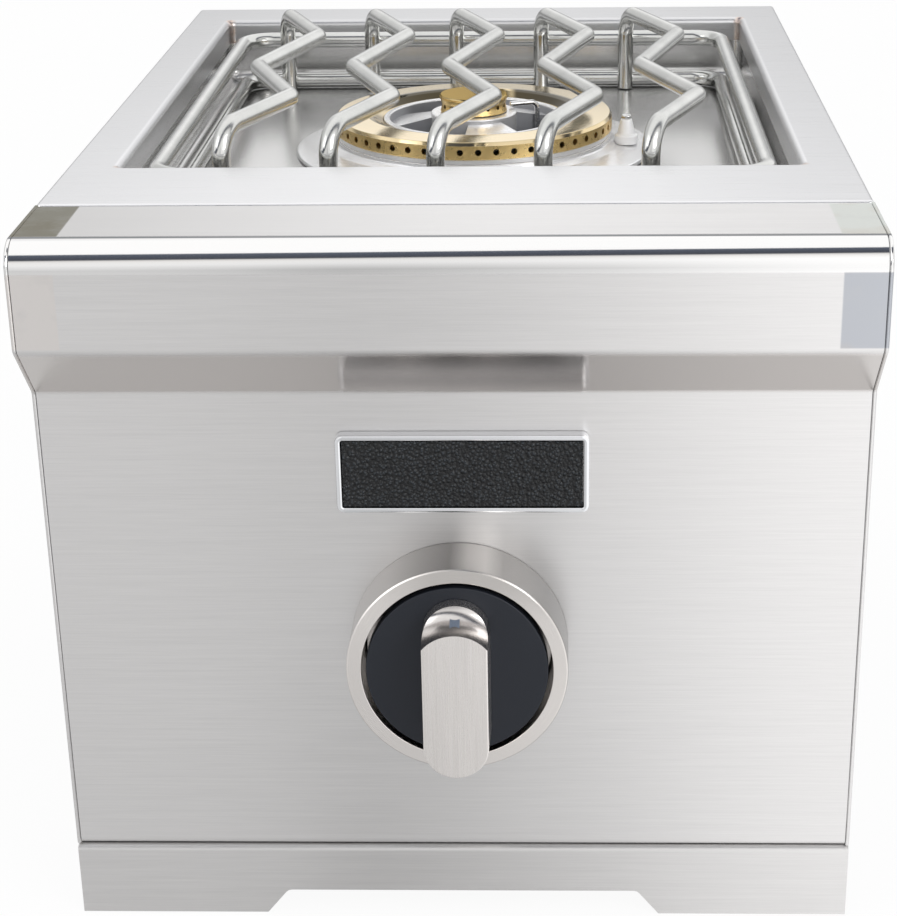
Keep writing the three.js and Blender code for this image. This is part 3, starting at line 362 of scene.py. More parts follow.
class Recipe(Nodes):
    """A Principled material whose uniform values sit on the shader's own sockets."""

    def __init__(self, name, **values):
        self.material = bpy.data.materials.new(name)
        self.material.use_nodes = True
        super().__init__(self.material.node_tree)
        self.shader = self.tree.nodes["Principled BSDF"]
        for socket, value in values.items():
            self.shader.inputs[socket.replace("_", " ")].default_value = value
        self.coords = self.node("ShaderNodeTexCoord").outputs["Object"]

    def noise(self, scale, stretch=(1, 1, 1), detail=2.0, roughness=0.5):
        """Noise whose cells are 1 / scale metres, divided by stretch along each axis."""
        spread = self.node("ShaderNodeMapping", {"Vector": self.coords, "Scale": stretch})
        return self.node("ShaderNodeTexNoise", {
            "Vector": spread.outputs[0], "Scale": scale, "Detail": detail,
            "Roughness": roughness}).outputs["Fac"]

    def tones(self, value, colour, contrast):
        """A colour, darker where the value is low and lighter where it is high."""
        low, high = shade(colour, 1 - contrast), shade(colour, 1 + contrast)
        return self.ramp(value, (0.3, low), (0.7, high))

    def axes(self):
        return self.split(self.coords)

    def radius(self, axis, centre):
        """Distance from an axis along Y or Z whose centre is in millimetres."""
        x, y, z = self.axes()
        second, about = (y, framed(centre[1])) if axis == "Z" else (z, centre[1])
        return self.length(self.math("SUBTRACT", x, centre[0] * MM),
                           self.math("SUBTRACT", second, about * MM))

    def painted(self):
        """The colour that the shader has now, to tone further."""
        return self.shader.inputs["Base Color"].links[0].from_socket

    def colour(self, value):
        self.feed(self.shader.inputs["Base Color"], value)

    def roughness(self, value):
        self.feed(self.shader.inputs["Roughness"], value)

    def bump(self, value, depth):
        height = {"Height": value, "Distance": depth * MM, "Strength": 1.0}
        made = self.node("ShaderNodeBump", height)
        self.feed(self.shader.inputs["Normal"], made.outputs[0])

    def tangent(self, axis):
        made = self.node("ShaderNodeTangent", direction_type="RADIAL", axis=axis)
        self.feed(self.shader.inputs["Tangent"], made.outputs[0])


def shade(colour, factor):
    return tuple(min(1.0, c * factor) for c in colour)


def satin_rod(name, top_rough, low_rough):
    """Drawn rod with faint streaks and grey clouds, dull above the deck and shiny below."""
    made = Recipe(name, Metallic=1.0)
    z = made.axes()[2]
    grain = made.noise(1.0, (2600, 700, 2600))
    cloud = made.noise(45.0, detail=3.0, roughness=0.55)
    toned = made.ramp(cloud, (0.3, (0.56, 0.565, 0.55)), (0.7, (0.66, 0.66, 0.645)))
    streaks = made.between(grain, 0.35, 0.65, 0.0, 0.12)
    made.colour(made.mix(streaks, toned, (0.46, 0.46, 0.45)))
    rough = made.span(z, DECK_TOP + 1, DECK_TOP + 6, low_rough, top_rough)
    made.roughness(made.math("MULTIPLY_ADD", made.math("SUBTRACT", grain, 0.5), 0.1, rough))
    made.bump(grain, 0.0015)
    return made.material


def brushed(name, colour, rough, stretch, contrast=0.05, depth=0.004, spread=0.08,
            axis=None, **values):
    """Metal with fine lines along one axis, a few lighter and darker bands and soft stains."""
    made = Recipe(name, Metallic=1.0, **values)
    fine = made.noise(1.0, stretch, 3.0, 0.6)
    wide = made.noise(0.25, stretch)
    lines = made.math("MULTIPLY_ADD", wide, 0.5, made.math("MULTIPLY", fine, 0.5))
    stains = made.between(made.noise(18.0, detail=3.0), 0.45, 0.75, 0.0, 0.35)
    made.colour(made.mix(stains, made.tones(lines, colour, contrast), shade(colour, 1 - contrast)))
    made.roughness(made.between(lines, 0.3, 0.7, rough - spread / 2, rough + spread / 2))
    made.bump(fine, depth)
    if axis:
        made.tangent(axis)
    return made


ALONG_X = (60, 3600, 3600)
ALONG_Y = (3600, 60, 3600)
ALONG_Z = (3600, 3600, 60)


def panel_steel():
    """Brushed front panel: polished bullnose, and ground patches at its two ends."""
    colour = (0.74, 0.73, 0.726)
    made = Recipe("panel_steel", Metallic=1.0, Anisotropic=0.75)
    made.tangent("X")
    x, y, z = made.axes()
    fine = made.noise(1.0, ALONG_X, 3.0, 0.6)
    wide = made.noise(0.22, ALONG_X)
    lines = made.math("MULTIPLY_ADD", wide, 0.45, made.math("MULTIPLY", fine, 0.55))

    # The bullnose, between the tangent lines of its bend, is polished, with a painted shade line
    # along its rear edge where the bend starts
    bend_foot, bend_rear = DECK_TOP - BULLNOSE, framed(APRON_Y + BULLNOSE)
    bend = made.product(
        made.span(z, bend_foot - 0.6, bend_foot + 0.2, smooth=True),
        made.span(y, bend_rear - 0.2, bend_rear + 0.5, 1.0, 0.0, smooth=True))
    flat = made.math("SUBTRACT", 1.0, bend)
    high = made.span(z, DECK_TOP - 1.0, DECK_TOP - 0.6)
    crease_shade = made.product(
        made.span(y, bend_rear - 2.2, bend_rear - 1.5, smooth=True),
        made.span(y, bend_rear - 0.2, bend_rear + 0.9, 1.0, 0.0, smooth=True), high)
    toned = made.mix(bend, made.tones(lines, colour, 0.05), (0.785, 0.78, 0.775))
    toned = made.mix(crease_shade, toned, (0.16, 0.165, 0.175))

    # Painted reflection and shade: the return under the apron is painted warmer and darker for the
    # floor it mirrors, and darker still on its right; the top strip is painted darker on its left
    tilted = made.product(
        made.span(z, APRON_BOTTOM - 3, APRON_BOTTOM - 1, 1.0, 0.0),
        made.span(z, FACE_TOP - 0.5, FACE_TOP + 1.5))
    toned = made.mix(tilted, toned, (0.73, 0.7, 0.68))
    shaded = made.product(tilted, made.span(x, -30, 50, 0.0, 0.85, smooth=True))
    toned = made.mix(shaded, toned, (0.545, 0.52, 0.505))
    strip = made.product(high, flat, made.span(x, -140, 20, 0.6, 0.0))
    toned = made.mix(strip, toned, shade(colour, 0.76))

    # Ground patches, mottled by heat, end in a straight line near each end
    reach = made.math("ABSOLUTE", x)
    patch = made.product(
        made.edge(reach, PATCH_X, 0.8), made.edge(z, APRON_BOTTOM + 1.0, 0.8), flat)
    top_side = made.span(z, DECK_TOP - 1.0, DECK_TOP - 0.2)
    left_side = made.span(x, -10, 10, 1.0, 0.0)
    ground = made.mix(
        top_side,
        made.mix(left_side, (0.46, 0.475, 0.51), (0.76, 0.73, 0.71)),
        made.mix(left_side, (0.66, 0.68, 0.65), (0.21, 0.2, 0.16)))
    scorch = made.mix(made.product(top_side, left_side), (0.55, 0.46, 0.38), (0.17, 0.15, 0.1))
    heat = made.between(made.noise(32.0), 0.48, 0.68, 0.0, 0.55)
    mottle = made.between(made.noise(70.0, detail=4.0, roughness=0.6), 0.5, 0.75, 0.0, 0.25)
    spotted = made.mix(mottle, made.mix(heat, ground, scorch), (0.5, 0.5, 0.5))
    made.colour(made.mix(patch, toned, spotted))

    rough = made.between(lines, 0.3, 0.7, 0.3, 0.4)
    for area, level in ((tilted, 0.17), (bend, 0.07), (patch, 0.34)):
        rough = made.mix(area, rough, (level, level, level))
    made.roughness(rough)
    weight = made.math("SUBTRACT", 1.0, made.math("MULTIPLY", bend, 0.93))
    made.bump(made.product(fine, weight), 0.004)
    return made.material


def deck_steel():
    """Bright brushed flange with painted shade towards the rear, stronger on the left, and heat
    marks at the opening's corners.
    """
    colour = (0.765, 0.765, 0.777)
    made = brushed("deck_steel", colour, 0.3, ALONG_X, 0.035, 0.003)
    x, y, z = made.axes()
    # Painted shade: darker towards the rear, more on the left than the right
    depth = made.product(
        made.span(y, framed(SEAM_Y), framed(DECK_REAR), 0.0, 0.85),
        made.span(x, -150, 150, 1.15, 0.7))
    toned = made.mix(depth, made.painted(), shade(colour, 0.76))

    back = made.math("ABSOLUTE", made.math("SUBTRACT", y, framed(CENTRE_Y) * MM))
    from_corner = made.length(
        made.math("SUBTRACT", made.math("ABSOLUTE", x), OPENING_HALF * MM),
        made.math("SUBTRACT", back, (OPENING_REAR - CENTRE_Y) * MM))
    ragged = made.math(
        "MULTIPLY_ADD", made.noise(300.0, detail=3.0, roughness=0.6), 4 * MM,
        made.math("SUBTRACT", from_corner, 2 * MM))
    tint = made.span(ragged, 0.6, 3.6, 0.6, 0.0, smooth=True)
    core = made.span(ragged, 0.2, 1.4, 0.85, 0.0, smooth=True)
    made.colour(made.mix(core, made.mix(tint, toned, (0.62, 0.42, 0.3)), (0.1, 0.1, 0.14)))
    return made.material


def zinc_steel():
    """Galvanised sheet with flat spangles."""
    made = Recipe("zinc_steel", Metallic=0.9)
    cells = made.node("ShaderNodeTexVoronoi", {"Vector": made.coords, "Scale": 90.0})
    flake = made.node("ShaderNodeSeparateColor", {"Color": cells.outputs["Color"]}).outputs[0]
    made.colour(made.ramp(flake, (0.0, (0.45, 0.46, 0.47)), (1.0, (0.53, 0.54, 0.55))))
    made.roughness(made.between(flake, 0.0, 1.0, 0.4, 0.5))
    made.bump(made.noise(900.0), 0.01)
    return made.material


def pebbled_black():
    """Moulded insert with a leather grain of rounded pebbles."""
    made = Recipe("plate_black", Metallic=0.0, Specular_IOR_Level=0.42)
    wander = made.node("ShaderNodeTexNoise", {"Vector": made.coords, "Scale": 700.0})
    bent = made.node("ShaderNodeVectorMath", {
        0: wander.outputs["Color"], 1: (0.0008, 0.0008, 0.0008), 2: made.coords,
    }, operation="MULTIPLY_ADD")
    cells = made.node("ShaderNodeTexVoronoi", {"Vector": bent.outputs[0], "Scale": 750.0})
    away = cells.outputs["Distance"]
    # Painted highlight and shade of the grain: the pebbles' tops lighter, the hollows between them
    # darker
    made.colour(made.ramp(away, (0.1, (0.019, 0.025, 0.032)), (0.5, (0.0015, 0.002, 0.003))))
    made.roughness(made.between(away, 0.1, 0.7, 0.3, 0.5))
    made.bump(made.math("SUBTRACT", 1.0, away), 1.0)
    return made.material


def cast_metal(name, colour, rough, contrast, grain=1600.0, depth=0.006, **values):
    made = Recipe(name, **{"Metallic": 1.0, **values})
    speck = made.noise(grain, detail=3.0, roughness=0.6)
    made.colour(made.tones(made.noise(60.0, detail=3.0), colour, contrast))
    made.roughness(made.between(speck, 0.3, 0.7, rough * 0.8, rough * 1.25))
    made.bump(speck, depth)
    return made.material


def moulded(name, colour, rough, grain, depth, shine=0.5):
    made = Recipe(name, Metallic=0.0, Specular_IOR_Level=shine)
    speck = made.noise(grain, detail=4.0, roughness=0.65)
    made.colour(made.tones(speck, colour, 0.2))
    made.roughness(made.between(speck, 0.3, 0.7, rough - 0.06, rough + 0.06))
    made.bump(speck, depth)
    return made.material


def turned(name, colour, rough, pitch, axis, centre, contrast=0.04, **values):
    """Metal with fine rings about an axis, as a lathe leaves them."""
    made = Recipe(name, **{"Metallic": 1.0, **values})
    along = made.math("MULTIPLY", made.radius(axis, centre), 1000.0 / pitch)
    rings = made.node("ShaderNodeTexNoise", {"W": along, "Detail": 3.0},
                      noise_dimensions="1D").outputs["Fac"]
    arcs = made.between(made.noise(140.0), 0.4, 0.7, 0.0, 0.4)
    plain = made.tones(rings, colour, contrast)
    made.colour(made.mix(arcs, plain, shade(colour, 1 - 1.5 * contrast)))
    made.roughness(made.between(rings, 0.3, 0.7, rough * 0.8, rough * 1.2))
    made.bump(rings, 0.004)
    if "Anisotropic" in values:
        made.tangent(axis)
    return made


def nickel_bezel():
    """Turned nickel with painted shade on its right and at its top, and painted highlight streaks
    and shade on its wall.
    """
    made = turned("satin_nickel_ring", (0.8, 0.765, 0.74), 0.27, 0.18, "Y", KNOB, 0.035,
                  Anisotropic=0.6)
    x, y, z = made.axes()
    # Painted shade, darker towards the right
    side = made.span(x, KNOB_X - 32, KNOB_X + 32, 0.0, 0.2)
    face = made.mix(0.3, made.painted(), (0.98, 0.94, 0.91))
    face = made.mix(side, face, (0.5, 0.48, 0.46))
    # Painted shade at the top of the face, fading out towards the left
    upper = made.product(
        made.span(z, KNOB_Z + 18, KNOB_Z + 40, 0.0, 0.6, smooth=True),
        made.span(x, KNOB_X - 30, KNOB_X - 8, 0.1, 1.0))
    face = made.mix(upper, face, (0.47, 0.45, 0.43))
    wall = made.product(
        made.span(made.radius("Y", KNOB), BEZEL_RADIUS - 0.4, BEZEL_RADIUS - 0.1),
        made.span(y, framed(BEZEL_FRONT + 0.2), framed(BEZEL_FRONT + 0.6)))
    # Painted highlight streaks and shade across the wall, by level along X
    across = made.span(x, KNOB_X - BEZEL_RADIUS, KNOB_X + BEZEL_RADIUS)
    wall_light_levels = [(0.0, 0.68), (0.2, 0.62), (0.47, 0.3), (0.55, 0.6), (0.63, 0.66), (0.71, 0.34),
              (0.9, 0.19), (1.0, 0.2)]
    streaks = made.ramp(across, *[(at, shade((1.0, 0.965, 0.935), level)) for at, level in wall_light_levels])
    made.colour(made.mix(wall, face, streaks))
    return made.material


def polished_brass():
    """Turned brass with a painted dark reflection on the rear of the bore's slope, broken where one
    bright streak shows.
    """
    made = turned("brass_polish", (0.7, 0.57, 0.35), 0.07, 0.3, "Z", AXIS, 0.03)
    x, y, z = made.axes()
    radius = made.radius("Z", AXIS)
    # Painted reflection: dark on the rear of the slope, left out at one bright streak
    rear_slope_reflection = made.product(
        made.edge(radius, RING_INNER + 0.9, 0.6),
        made.edge(made.math("SUBTRACT", 0.0, radius), -RING_INNER - 9.2, 3.5),
        made.edge(made.math("SUBTRACT", y, framed(CENTRE_Y) * MM), 14.0, 12.0),
        made.edge(made.math("ABSOLUTE", made.math("SUBTRACT", x, 12.0 * MM)), 5.5, 5.0))
    made.colour(made.mix(rear_slope_reflection, made.painted(), (0.06, 0.048, 0.026)))
    return made.material


def glazed_white():
    made = Recipe("glazed_ceramic", Metallic=0.0, Coat_Weight=0.6, Coat_Roughness=0.08)
    cloud = made.noise(160.0, detail=3.0)
    made.colour(made.ramp(cloud, (0.3, (0.93, 0.93, 0.93)), (0.7, (0.97, 0.97, 0.97))))
    made.roughness(made.between(cloud, 0.3, 0.7, 0.3, 0.42))
    made.bump(made.noise(1500.0), 0.004)
    return made.material


rod_steel = satin_rod("rod_steel", 0.24, 0.13)
rail_steel = satin_rod("rail_steel", 0.19, 0.19)
pan_steel = brushed("pan_steel", (0.65, 0.645, 0.64), 0.22, ALONG_X, 0.02, 0.0008, 0.03).material
deck_metal = deck_steel()
panel_metal = panel_steel()
plinth_steel = brushed("plinth_steel", (0.71, 0.7, 0.695), 0.34, ALONG_X,
                       axis="X", Anisotropic=0.75).material
aluminium = turned("cast_aluminium", (0.86, 0.86, 0.87), 0.27, 0.35, "Z", AXIS,
                   Metallic=0.65).material
cast_grey = cast_metal("cast_grey", (0.3, 0.305, 0.325), 0.6, 0.12, Metallic=0.2)
brass_polish = polished_brass()
brass_cap = turned("brass_cap", (0.45, 0.355, 0.185), 0.12, 0.3, "Z", AXIS, 0.03,
                   Specular_Tint=(0.7, 0.58, 0.38, 1)).material
brass_band = cast_metal("brass_band", (0.9, 0.66, 0.29), 0.3, 0.04, 400.0, 0.0001)
ceramic = glazed_white()
hardware = cast_metal("bright_hardware", (0.68, 0.68, 0.68), 0.25, 0.06)
nickel_ring = nickel_bezel()
nickel_bar = brushed("satin_nickel_bar", (0.86, 0.825, 0.8), 0.27, ALONG_Z, spread=0.06).material
# A darker copy of the satin nickel for the lever's scoop: painted shade in its hollow
shaded_nickel_scoop = brushed("shaded_nickel_scoop", (0.6, 0.575, 0.56), 0.22, ALONG_Y, 0.03, 0.002,
                       0.03).material
disc_black = moulded("disc_black", (0.013, 0.0155, 0.022), 0.42, 2600.0, 0.012, 0.3)
mark_grey = moulded("mark_grey", (0.12, 0.15, 0.2), 0.4, 1800.0, 0.006)
chrome_rim = cast_metal("chrome_rim", (0.8, 0.81, 0.83), 0.1, 0.02, 900.0, 0.002)
plate_black = pebbled_black()

by_slot = {
    "brushed_steel": plinth_steel,
    "polished_steel": rod_steel,
    "housing_steel": zinc_steel(),
    "cast_aluminium": aluminium,
    "brass": cast_metal("brass_fitting", (0.72, 0.54, 0.26), 0.32, 0.08),
    "ceramic": ceramic,
    "bright_hardware": hardware,
    "satin_nickel": nickel_ring,
    "knob_black": disc_black,
    "mark_grey": mark_grey,
    "plate_chrome": chrome_rim,
    "plate_black": plate_black,
    "module_black": moulded("module_black", (0.03, 0.03, 0.032), 0.5, 1200.0, 0.03),
    "lead_insulation": moulded("lead_orange", (0.5, 0.12, 0.05), 0.5, 900.0, 0.02),
}

# Every CAD node gets its slot's material and smooth bends; the pieces below replace some
for part in frame["record"]["subparts"]:
    node = frame["nodes"][part["node"]]
    node.data.materials.clear()
    node.data.materials.append(by_slot[part["material_slot"]])
    node.data.polygons.foreach_set("use_smooth", [True] * len(node.data.polygons))
    weld = node.modifiers.new("weld", "WELD")
    weld.merge_threshold = 1e-6
    split = node.modifiers.new("split", "EDGE_SPLIT")
    split.split_angle = math.radians(32)
    node.modifiers.new("normals", "WEIGHTED_NORMAL")


# Sheet metal

def folded(corners, finest):
    """Closed section of a folded sheet whose thickness lies to the left of the path."""
    outer = flat_path(corners, finest=finest)
    inner = []
    for index, (a, b) in enumerate(outer):
        before = outer[max(index - 1, 0)]
        after = outer[min(index + 1, len(outer) - 1)]
        run = Vector((after[0] - before[0], after[1] - before[1])).normalized()
        inner.append((a - run.y * SHEET, b + run.x * SHEET))
    return outer + inner[::-1]


def make_front_panel():
    front = [
        (APRON_Y, DECK_TOP, BULLNOSE), (APRON_Y, APRON_BOTTOM, SHEET_BEND),
        (0, FACE_TOP, SHEET_BEND),
    ]
    finest = math.pi / 40
    section = folded([
        (SEAM_Y, DECK_TOP - LIP), (SEAM_Y, DECK_TOP, SHEET_BEND), *front,
        (0, FACE_BOTTOM, SHEET_BEND), (LIP, FACE_BOTTOM),
    ], finest)
    half = HALF_WIDTH - SHEET - GAP
    panel = prism("panel_sheet", section, -half, half, "X")
    drill(panel, "Y", (*KNOB, 8, -FAR, FAR, 48), *BEZEL_SCREWS)
    dress(panel, [panel_metal], "appliance", ["front_panel"], 20)

    plate_depth, plate_step = 20, FACE_TOP + 15
    outline = flat_path([
        (SEAM_Y, DECK_TOP), *front, (0, FACE_BOTTOM), (plate_depth, FACE_BOTTOM),
        (plate_depth, FACE_TOP), (SEAM_Y, plate_step),
    ], True, finest)
    for name, side in (("left", -1), ("right", 1)):
        low, high = sorted((side * HALF_WIDTH, side * (HALF_WIDTH - SHEET)))
        plate = prism("end_plate_" + name, outline, low, high, "X")
        bevelled(plate, 0.5, 60)
        dress(plate, [panel_metal], "appliance", ["front_panel_end_" + name], 20)


def level_ring(half_x, front, rear, corner, outset, z):
    """Rounded rectangle at a level, moved outward by the outset."""
    return [(a, b, z) for a, b in rectangle(
        -half_x - outset, half_x + outset, front - outset, rear + outset,
        max(corner + outset, 0.5), math.pi / 16)]


def quarter(steps, visit):
    return [visit(step * math.pi / 2 / steps) for step in range(steps + 1)]


def make_deck():
    outer = (HALF_WIDTH, SEAM_Y + GAP, DECK_REAR, 2)
    under = DECK_TOP - SHEET
    crown = DECK_TOP - SHEET_BEND
    inside = SHEET_BEND - SHEET
    hem = quarter(6, lambda t: (SHEET * (math.sin(t) - 1), under - SHEET * math.cos(t)))
    top = quarter(6, lambda t: (SHEET * (math.cos(t) - 1), under + SHEET * math.sin(t)))
    lip_out = quarter(8, lambda t: (
        SHEET_BEND * (1 - math.sin(t)), crown + SHEET_BEND * math.cos(t)))
    lip_in = quarter(6, lambda t: (SHEET_BEND - inside * math.cos(t), crown + inside * math.sin(t)))
    rings = [level_ring(*outer, *at) for at in hem + top[1:]]
    rings += [level_ring(*OPENING, *at) for at in [
        *lip_out, (0, DECK_TOP - LIP), (SHEET, DECK_TOP - LIP), *lip_in]]
    rings += [level_ring(*outer, -LIP, z) for z in (under, under - SHEET)]
    deck = loft("deck_sheet", rings, endless=True)
    dress(deck, [deck_metal], "appliance", ["top_deck"], 25)


def make_pan():
    low, top = PAN_FLOOR - SHEET, DECK_TOP - SHEET_BEND - GAP
    wall, bend = SHEET_BEND + GAP, 7.5
    inner_wall, inner_bend = wall - SHEET, bend - SHEET
    outside = quarter(8, lambda t: (
        wall - bend * (1 - math.sin(t)), low + bend * (1 - math.cos(t))))
    inside = quarter(8, lambda t: (
        inner_wall - inner_bend * (1 - math.cos(t)), PAN_FLOOR + inner_bend * (1 - math.sin(t))))
    rings = [level_ring(*OPENING, *at) for at in [
        *outside, (wall, top), (inner_wall, top), *inside]]
    pan = loft("pan_sheet", rings)
    ends = (low - 4, PAN_FLOOR + 4)
    drill(pan, "Z", (*AXIS, 62.2, *ends, 96), (*ELECTRODE, ELECTRODE_HOLE, *ends, 48))
    dress(pan, [pan_steel], "appliance", ["burner_pan"], 25)


# Grate of bent rods

def make_grate():
    finest = math.pi / 28
    loop_half, rear_inset = 127.0, 19.9
    for name, z, front_inset in (("upper", 289.2, 8.0), ("lower", 268.0, rear_inset)):
        outline = rectangle(-loop_half, loop_half, OPENING_FRONT + front_inset,
                            OPENING_REAR - rear_inset, 15, finest)
        loop = sweep("loop_rod_" + name, [Vector((a, b, z)) for a, b in outline], ROD, closed=True)
        dress(loop, [rail_steel], "grate", ["grate_loop_" + name], 40)

    # Corners of a rod from rear to front: shares of its swing and its half length, and the bend
    first_x, spacing, swing, half_length = -101.15, 45, 22.3, 135.3
    turns = [(-0.12, 1, 12), (0.946, 0.514, 8), (0, -0.052, 8), (1.027, -0.54, 8), (0, -1, 12)]
    for bar in range(5):
        spots = [(first_x + spacing * bar + swing * a, CENTRE_Y + half_length * b, bend)
                 for a, b, bend in turns]
        path = rounded_path([
            (*spots[0][:2], PAN_FLOOR + GAP, 0),
            *[(x, y, BAR_TOP, bend) for x, y, bend in spots],
            (*spots[-1][:2], PAN_FLOOR + GAP, 0),
        ], finest=finest)
        rod = sweep("bar_rod_%d" % (bar + 1), path, ROD)
        dress(rod, [rod_steel], "grate", ["grate_bar_%d" % (bar + 1)], 40)


# Burner

def make_burner():
    base = lathe("base_casting", flat_path([
        (60, BASE_FOOT, 0), (85, BASE_FOOT, 0.5), (85, BASE_FOOT + 2, 1.2),
        (68.5, BASE_FOOT + 3.4, 3), (65.4, BASE_FOOT + 5.5, 2), (65, BASE_RIM, 0.3),
        (60, BASE_RIM, 0),
    ], closed=True), "Z", AXIS, 192)
    above, below = BASE_RIM + FAR, BASE_FOOT - FAR
    screws = [(0, CENTRE_Y - BASE_SCREW_Y), (0, CENTRE_Y + BASE_SCREW_Y)]
    drill(
        base, "Z", (*ELECTRODE, 6.1, BASE_FOOT + 3, above, 48),
        (*ELECTRODE, ELECTRODE_HOLE, below, above, 48),
        *[(*at, 3.8, BASE_FOOT + 2, above, 32) for at in screws],
        *[(*at, 2.3, below, above, 24) for at in screws])
    bevelled(base, 0.25, 50)
    dress(base, [aluminium], "appliance", ["burner_base"], 30)

    rim, flange = SHOULDER + 6.2, BASE_RIM + 0.1
    trough = lathe("body_casting", flat_path([
        (59.7, BODY_FOOT, 0.5), (59.7, flange, 0), (64.6, flange, 0), (64.6, SHOULDER, 0.4),
        (57.5, SHOULDER, 0), (57.5, BODY_FLOOR, 1), (43, BODY_FLOOR, 1), (43, rim, 0.8),
        (40, rim, 0.8), (40, BODY_FOOT, 0.5),
    ], closed=True), "Z", AXIS, 192)
    hub = lathe("hub", flat_path([
        (9, BODY_FLOOR, 0), (20.5, BODY_FLOOR, 0), (20.5, HUB_TOP, 0.7), (9, HUB_TOP, 0.4),
    ], closed=True), "Z", AXIS, 96)
    section = [
        (14.75, BODY_FLOOR + 4), (41.5, BODY_FLOOR + 4), (41.5, HUB_TOP - 6.5),
        (28, HUB_TOP - 3.8), (14.75, HUB_TOP - 1),
    ]
    spokes = []
    for index in range(3):
        middle = (0.133 + index / 3) * 2 * math.pi
        half = 0.13 * math.pi
        angles = [middle - half + 2 * half * step / 12 for step in range(13)]
        spokes.append(loft("spoke", [
            [(r * math.cos(angle), CENTRE_Y + r * math.sin(angle), h) for r, h in section]
            for angle in angles]))
    drill(trough, "Z", (-50.1, CENTRE_Y, 6, BODY_FOOT - 4, BODY_FLOOR + 4, 48))
    combine(trough, [hub, *spokes], "UNION")
    bevelled(trough, 0.4, 50)
    dress(trough, [aluminium, cast_grey], "appliance", ["burner_body"], 30)
    two_finishes(trough, lambda at, normal: at.z < HUB_TOP - 4 and abs(normal.z) < 0.3
                 and 21 < off_axis(at) < 41)


def off_axis(at):
    return math.hypot(at.x, at.y - CENTRE_Y)


def radial_ports(count, turn, radius, z, inner, outer):
    """One mesh of round cutters that point away from the burner's axis."""
    work = bmesh.new()
    for index in range(count):
        angle = (index + turn) * 2 * math.pi / count
        direction = Vector((math.sin(angle), -math.cos(angle), 0))
        across = Vector((math.cos(angle), math.sin(angle), 0))
        rings = []
        for reach in (inner, outer):
            middle = Vector((*AXIS, z)) + direction * reach
            rings.append([tuple(middle + across * a + Vector((0, 0, b)))
                          for a, b in circle(0, 0, radius, 16)])
        port = loft("port", rings)
        work.from_mesh(port.data)
        bpy.data.objects.remove(port)
    mesh = bpy.data.meshes.new("ports")
    work.to_mesh(mesh)
    work.free()
    return shown("ports", mesh)


def two_finishes(made, chooses_second):
    """Gives the faces that the test picks the second material."""
    for face in made.data.polygons:
        at = face.center / MM
        at.y += FRAME_SHIFT
        face.material_index = int(chooses_second(at, face.normal))


def make_brass():
    bottom = SHOULDER + GAP
    # Profile as shares of the ring's width and height, and each corner's bend
    shares = [
        (1, 0, 0.3), (1, BAND_SHARE, 0.1), (0.956, 0.96, 0.4), (0.564, 0.985, 6), (0.342, 1, 3),
        (0.231, 0.926, 3), (0, 0.605, 0.5), (0, 0.173, 0.3), (0.093, 0.173, 0.3),
        (0.093, 0.469, 1), (0.387, 0.753, 2), (0.853, 0.605, 1), (0.853, 0, 0.3),
    ]
    width = RING_OUTER - RING_INNER
    profile = flat_path([
        (RING_INNER + a * width, bottom + b * RING_HEIGHT, bend) for a, b, bend in shares
    ], closed=True)
    ring = lathe("flame_ring_brass", profile, "Z", AXIS, 200)
    combine(ring, [radial_ports(50, 0.5, 1.45, bottom + 3.3, 58, 70)], "DIFFERENCE")
    dress(ring, [brass_polish, brass_band], "flame_ring_body", ["flame_ring"], 30)
    band_top = bottom + BAND_SHARE * RING_HEIGHT
    two_finishes(ring, lambda at, normal: at.z < band_top and off_axis(at) > 60)

    seat = HUB_TOP + GAP
    top = seat + 8.2
    cap = lathe("cap_brass", flat_path([
        (0, top - 2.5), (12.5, top - 2.5, 0.5), (12.5, seat + 1.7, 0.3), (6.5, seat + 1.7),
        (6.5, seat - 6), (8.7, seat - 6, 0.3), (8.7, seat), (15.9, seat, 0.3), (15, top - 4.6, 4),
        (16.2, top - 1.6, 0.6), (16.2, top - 0.6, 0.3), (15.6, top, 0.3), (0, top),
    ]), "Z", AXIS, 128)
    combine(cap, [radial_ports(16, 0.25, 1.0, seat + 3.2, 11, 20)], "DIFFERENCE")
    dress(cap, [brass_cap, brass_band], "burner_cap_body", ["burner_cap"], 30)
    two_finishes(cap, lambda at, normal: abs(normal.z) < 0.5)


def make_electrodes():
    foot = BASE_FOOT + 3.3
    collar, cone = foot + 4.4, foot + 11.7
    insulator = lathe("insulator_ceramic", flat_path([
        (0, foot - 19), (3, foot - 19, 0.4), (3, foot), (5.5, foot, 0.3), (5.5, collar, 0.9),
        (4.4, collar, 0.6), (2.6, cone, 0.8), (0, cone),
    ]), "Z", ELECTRODE, 64)
    dress(insulator, [ceramic], "appliance", ["electrode_insulator"], 40)
    low, high = cone + GAP, cone + GAP + 1.6
    tip = lathe("electrode_button", flat_path([
        (0, low), (2.4, low, 0.3), (2.4, high, 0.7), (0, high),
    ]), "Z", ELECTRODE, 48)
    dress(tip, [hardware], "appliance", ["electrode_tip"], 40)

    angle = 0.0605 * 2 * math.pi
    out, near = 32.3, 18.2
    path = rounded_path([
        (r * math.cos(angle), CENTRE_Y + r * math.sin(angle), PAN_FLOOR + up, bend)
        for r, up, bend in ((out, -14, 0), (out, 20, 3), (near, 20, 0))
    ], finest=math.pi / 20)
    wire = sweep("inner_wire", path, 1.25, 20, end_round=0.3)
    dress(wire, [hardware], "appliance", ["inner_electrode_wire"], 40)


# Knob

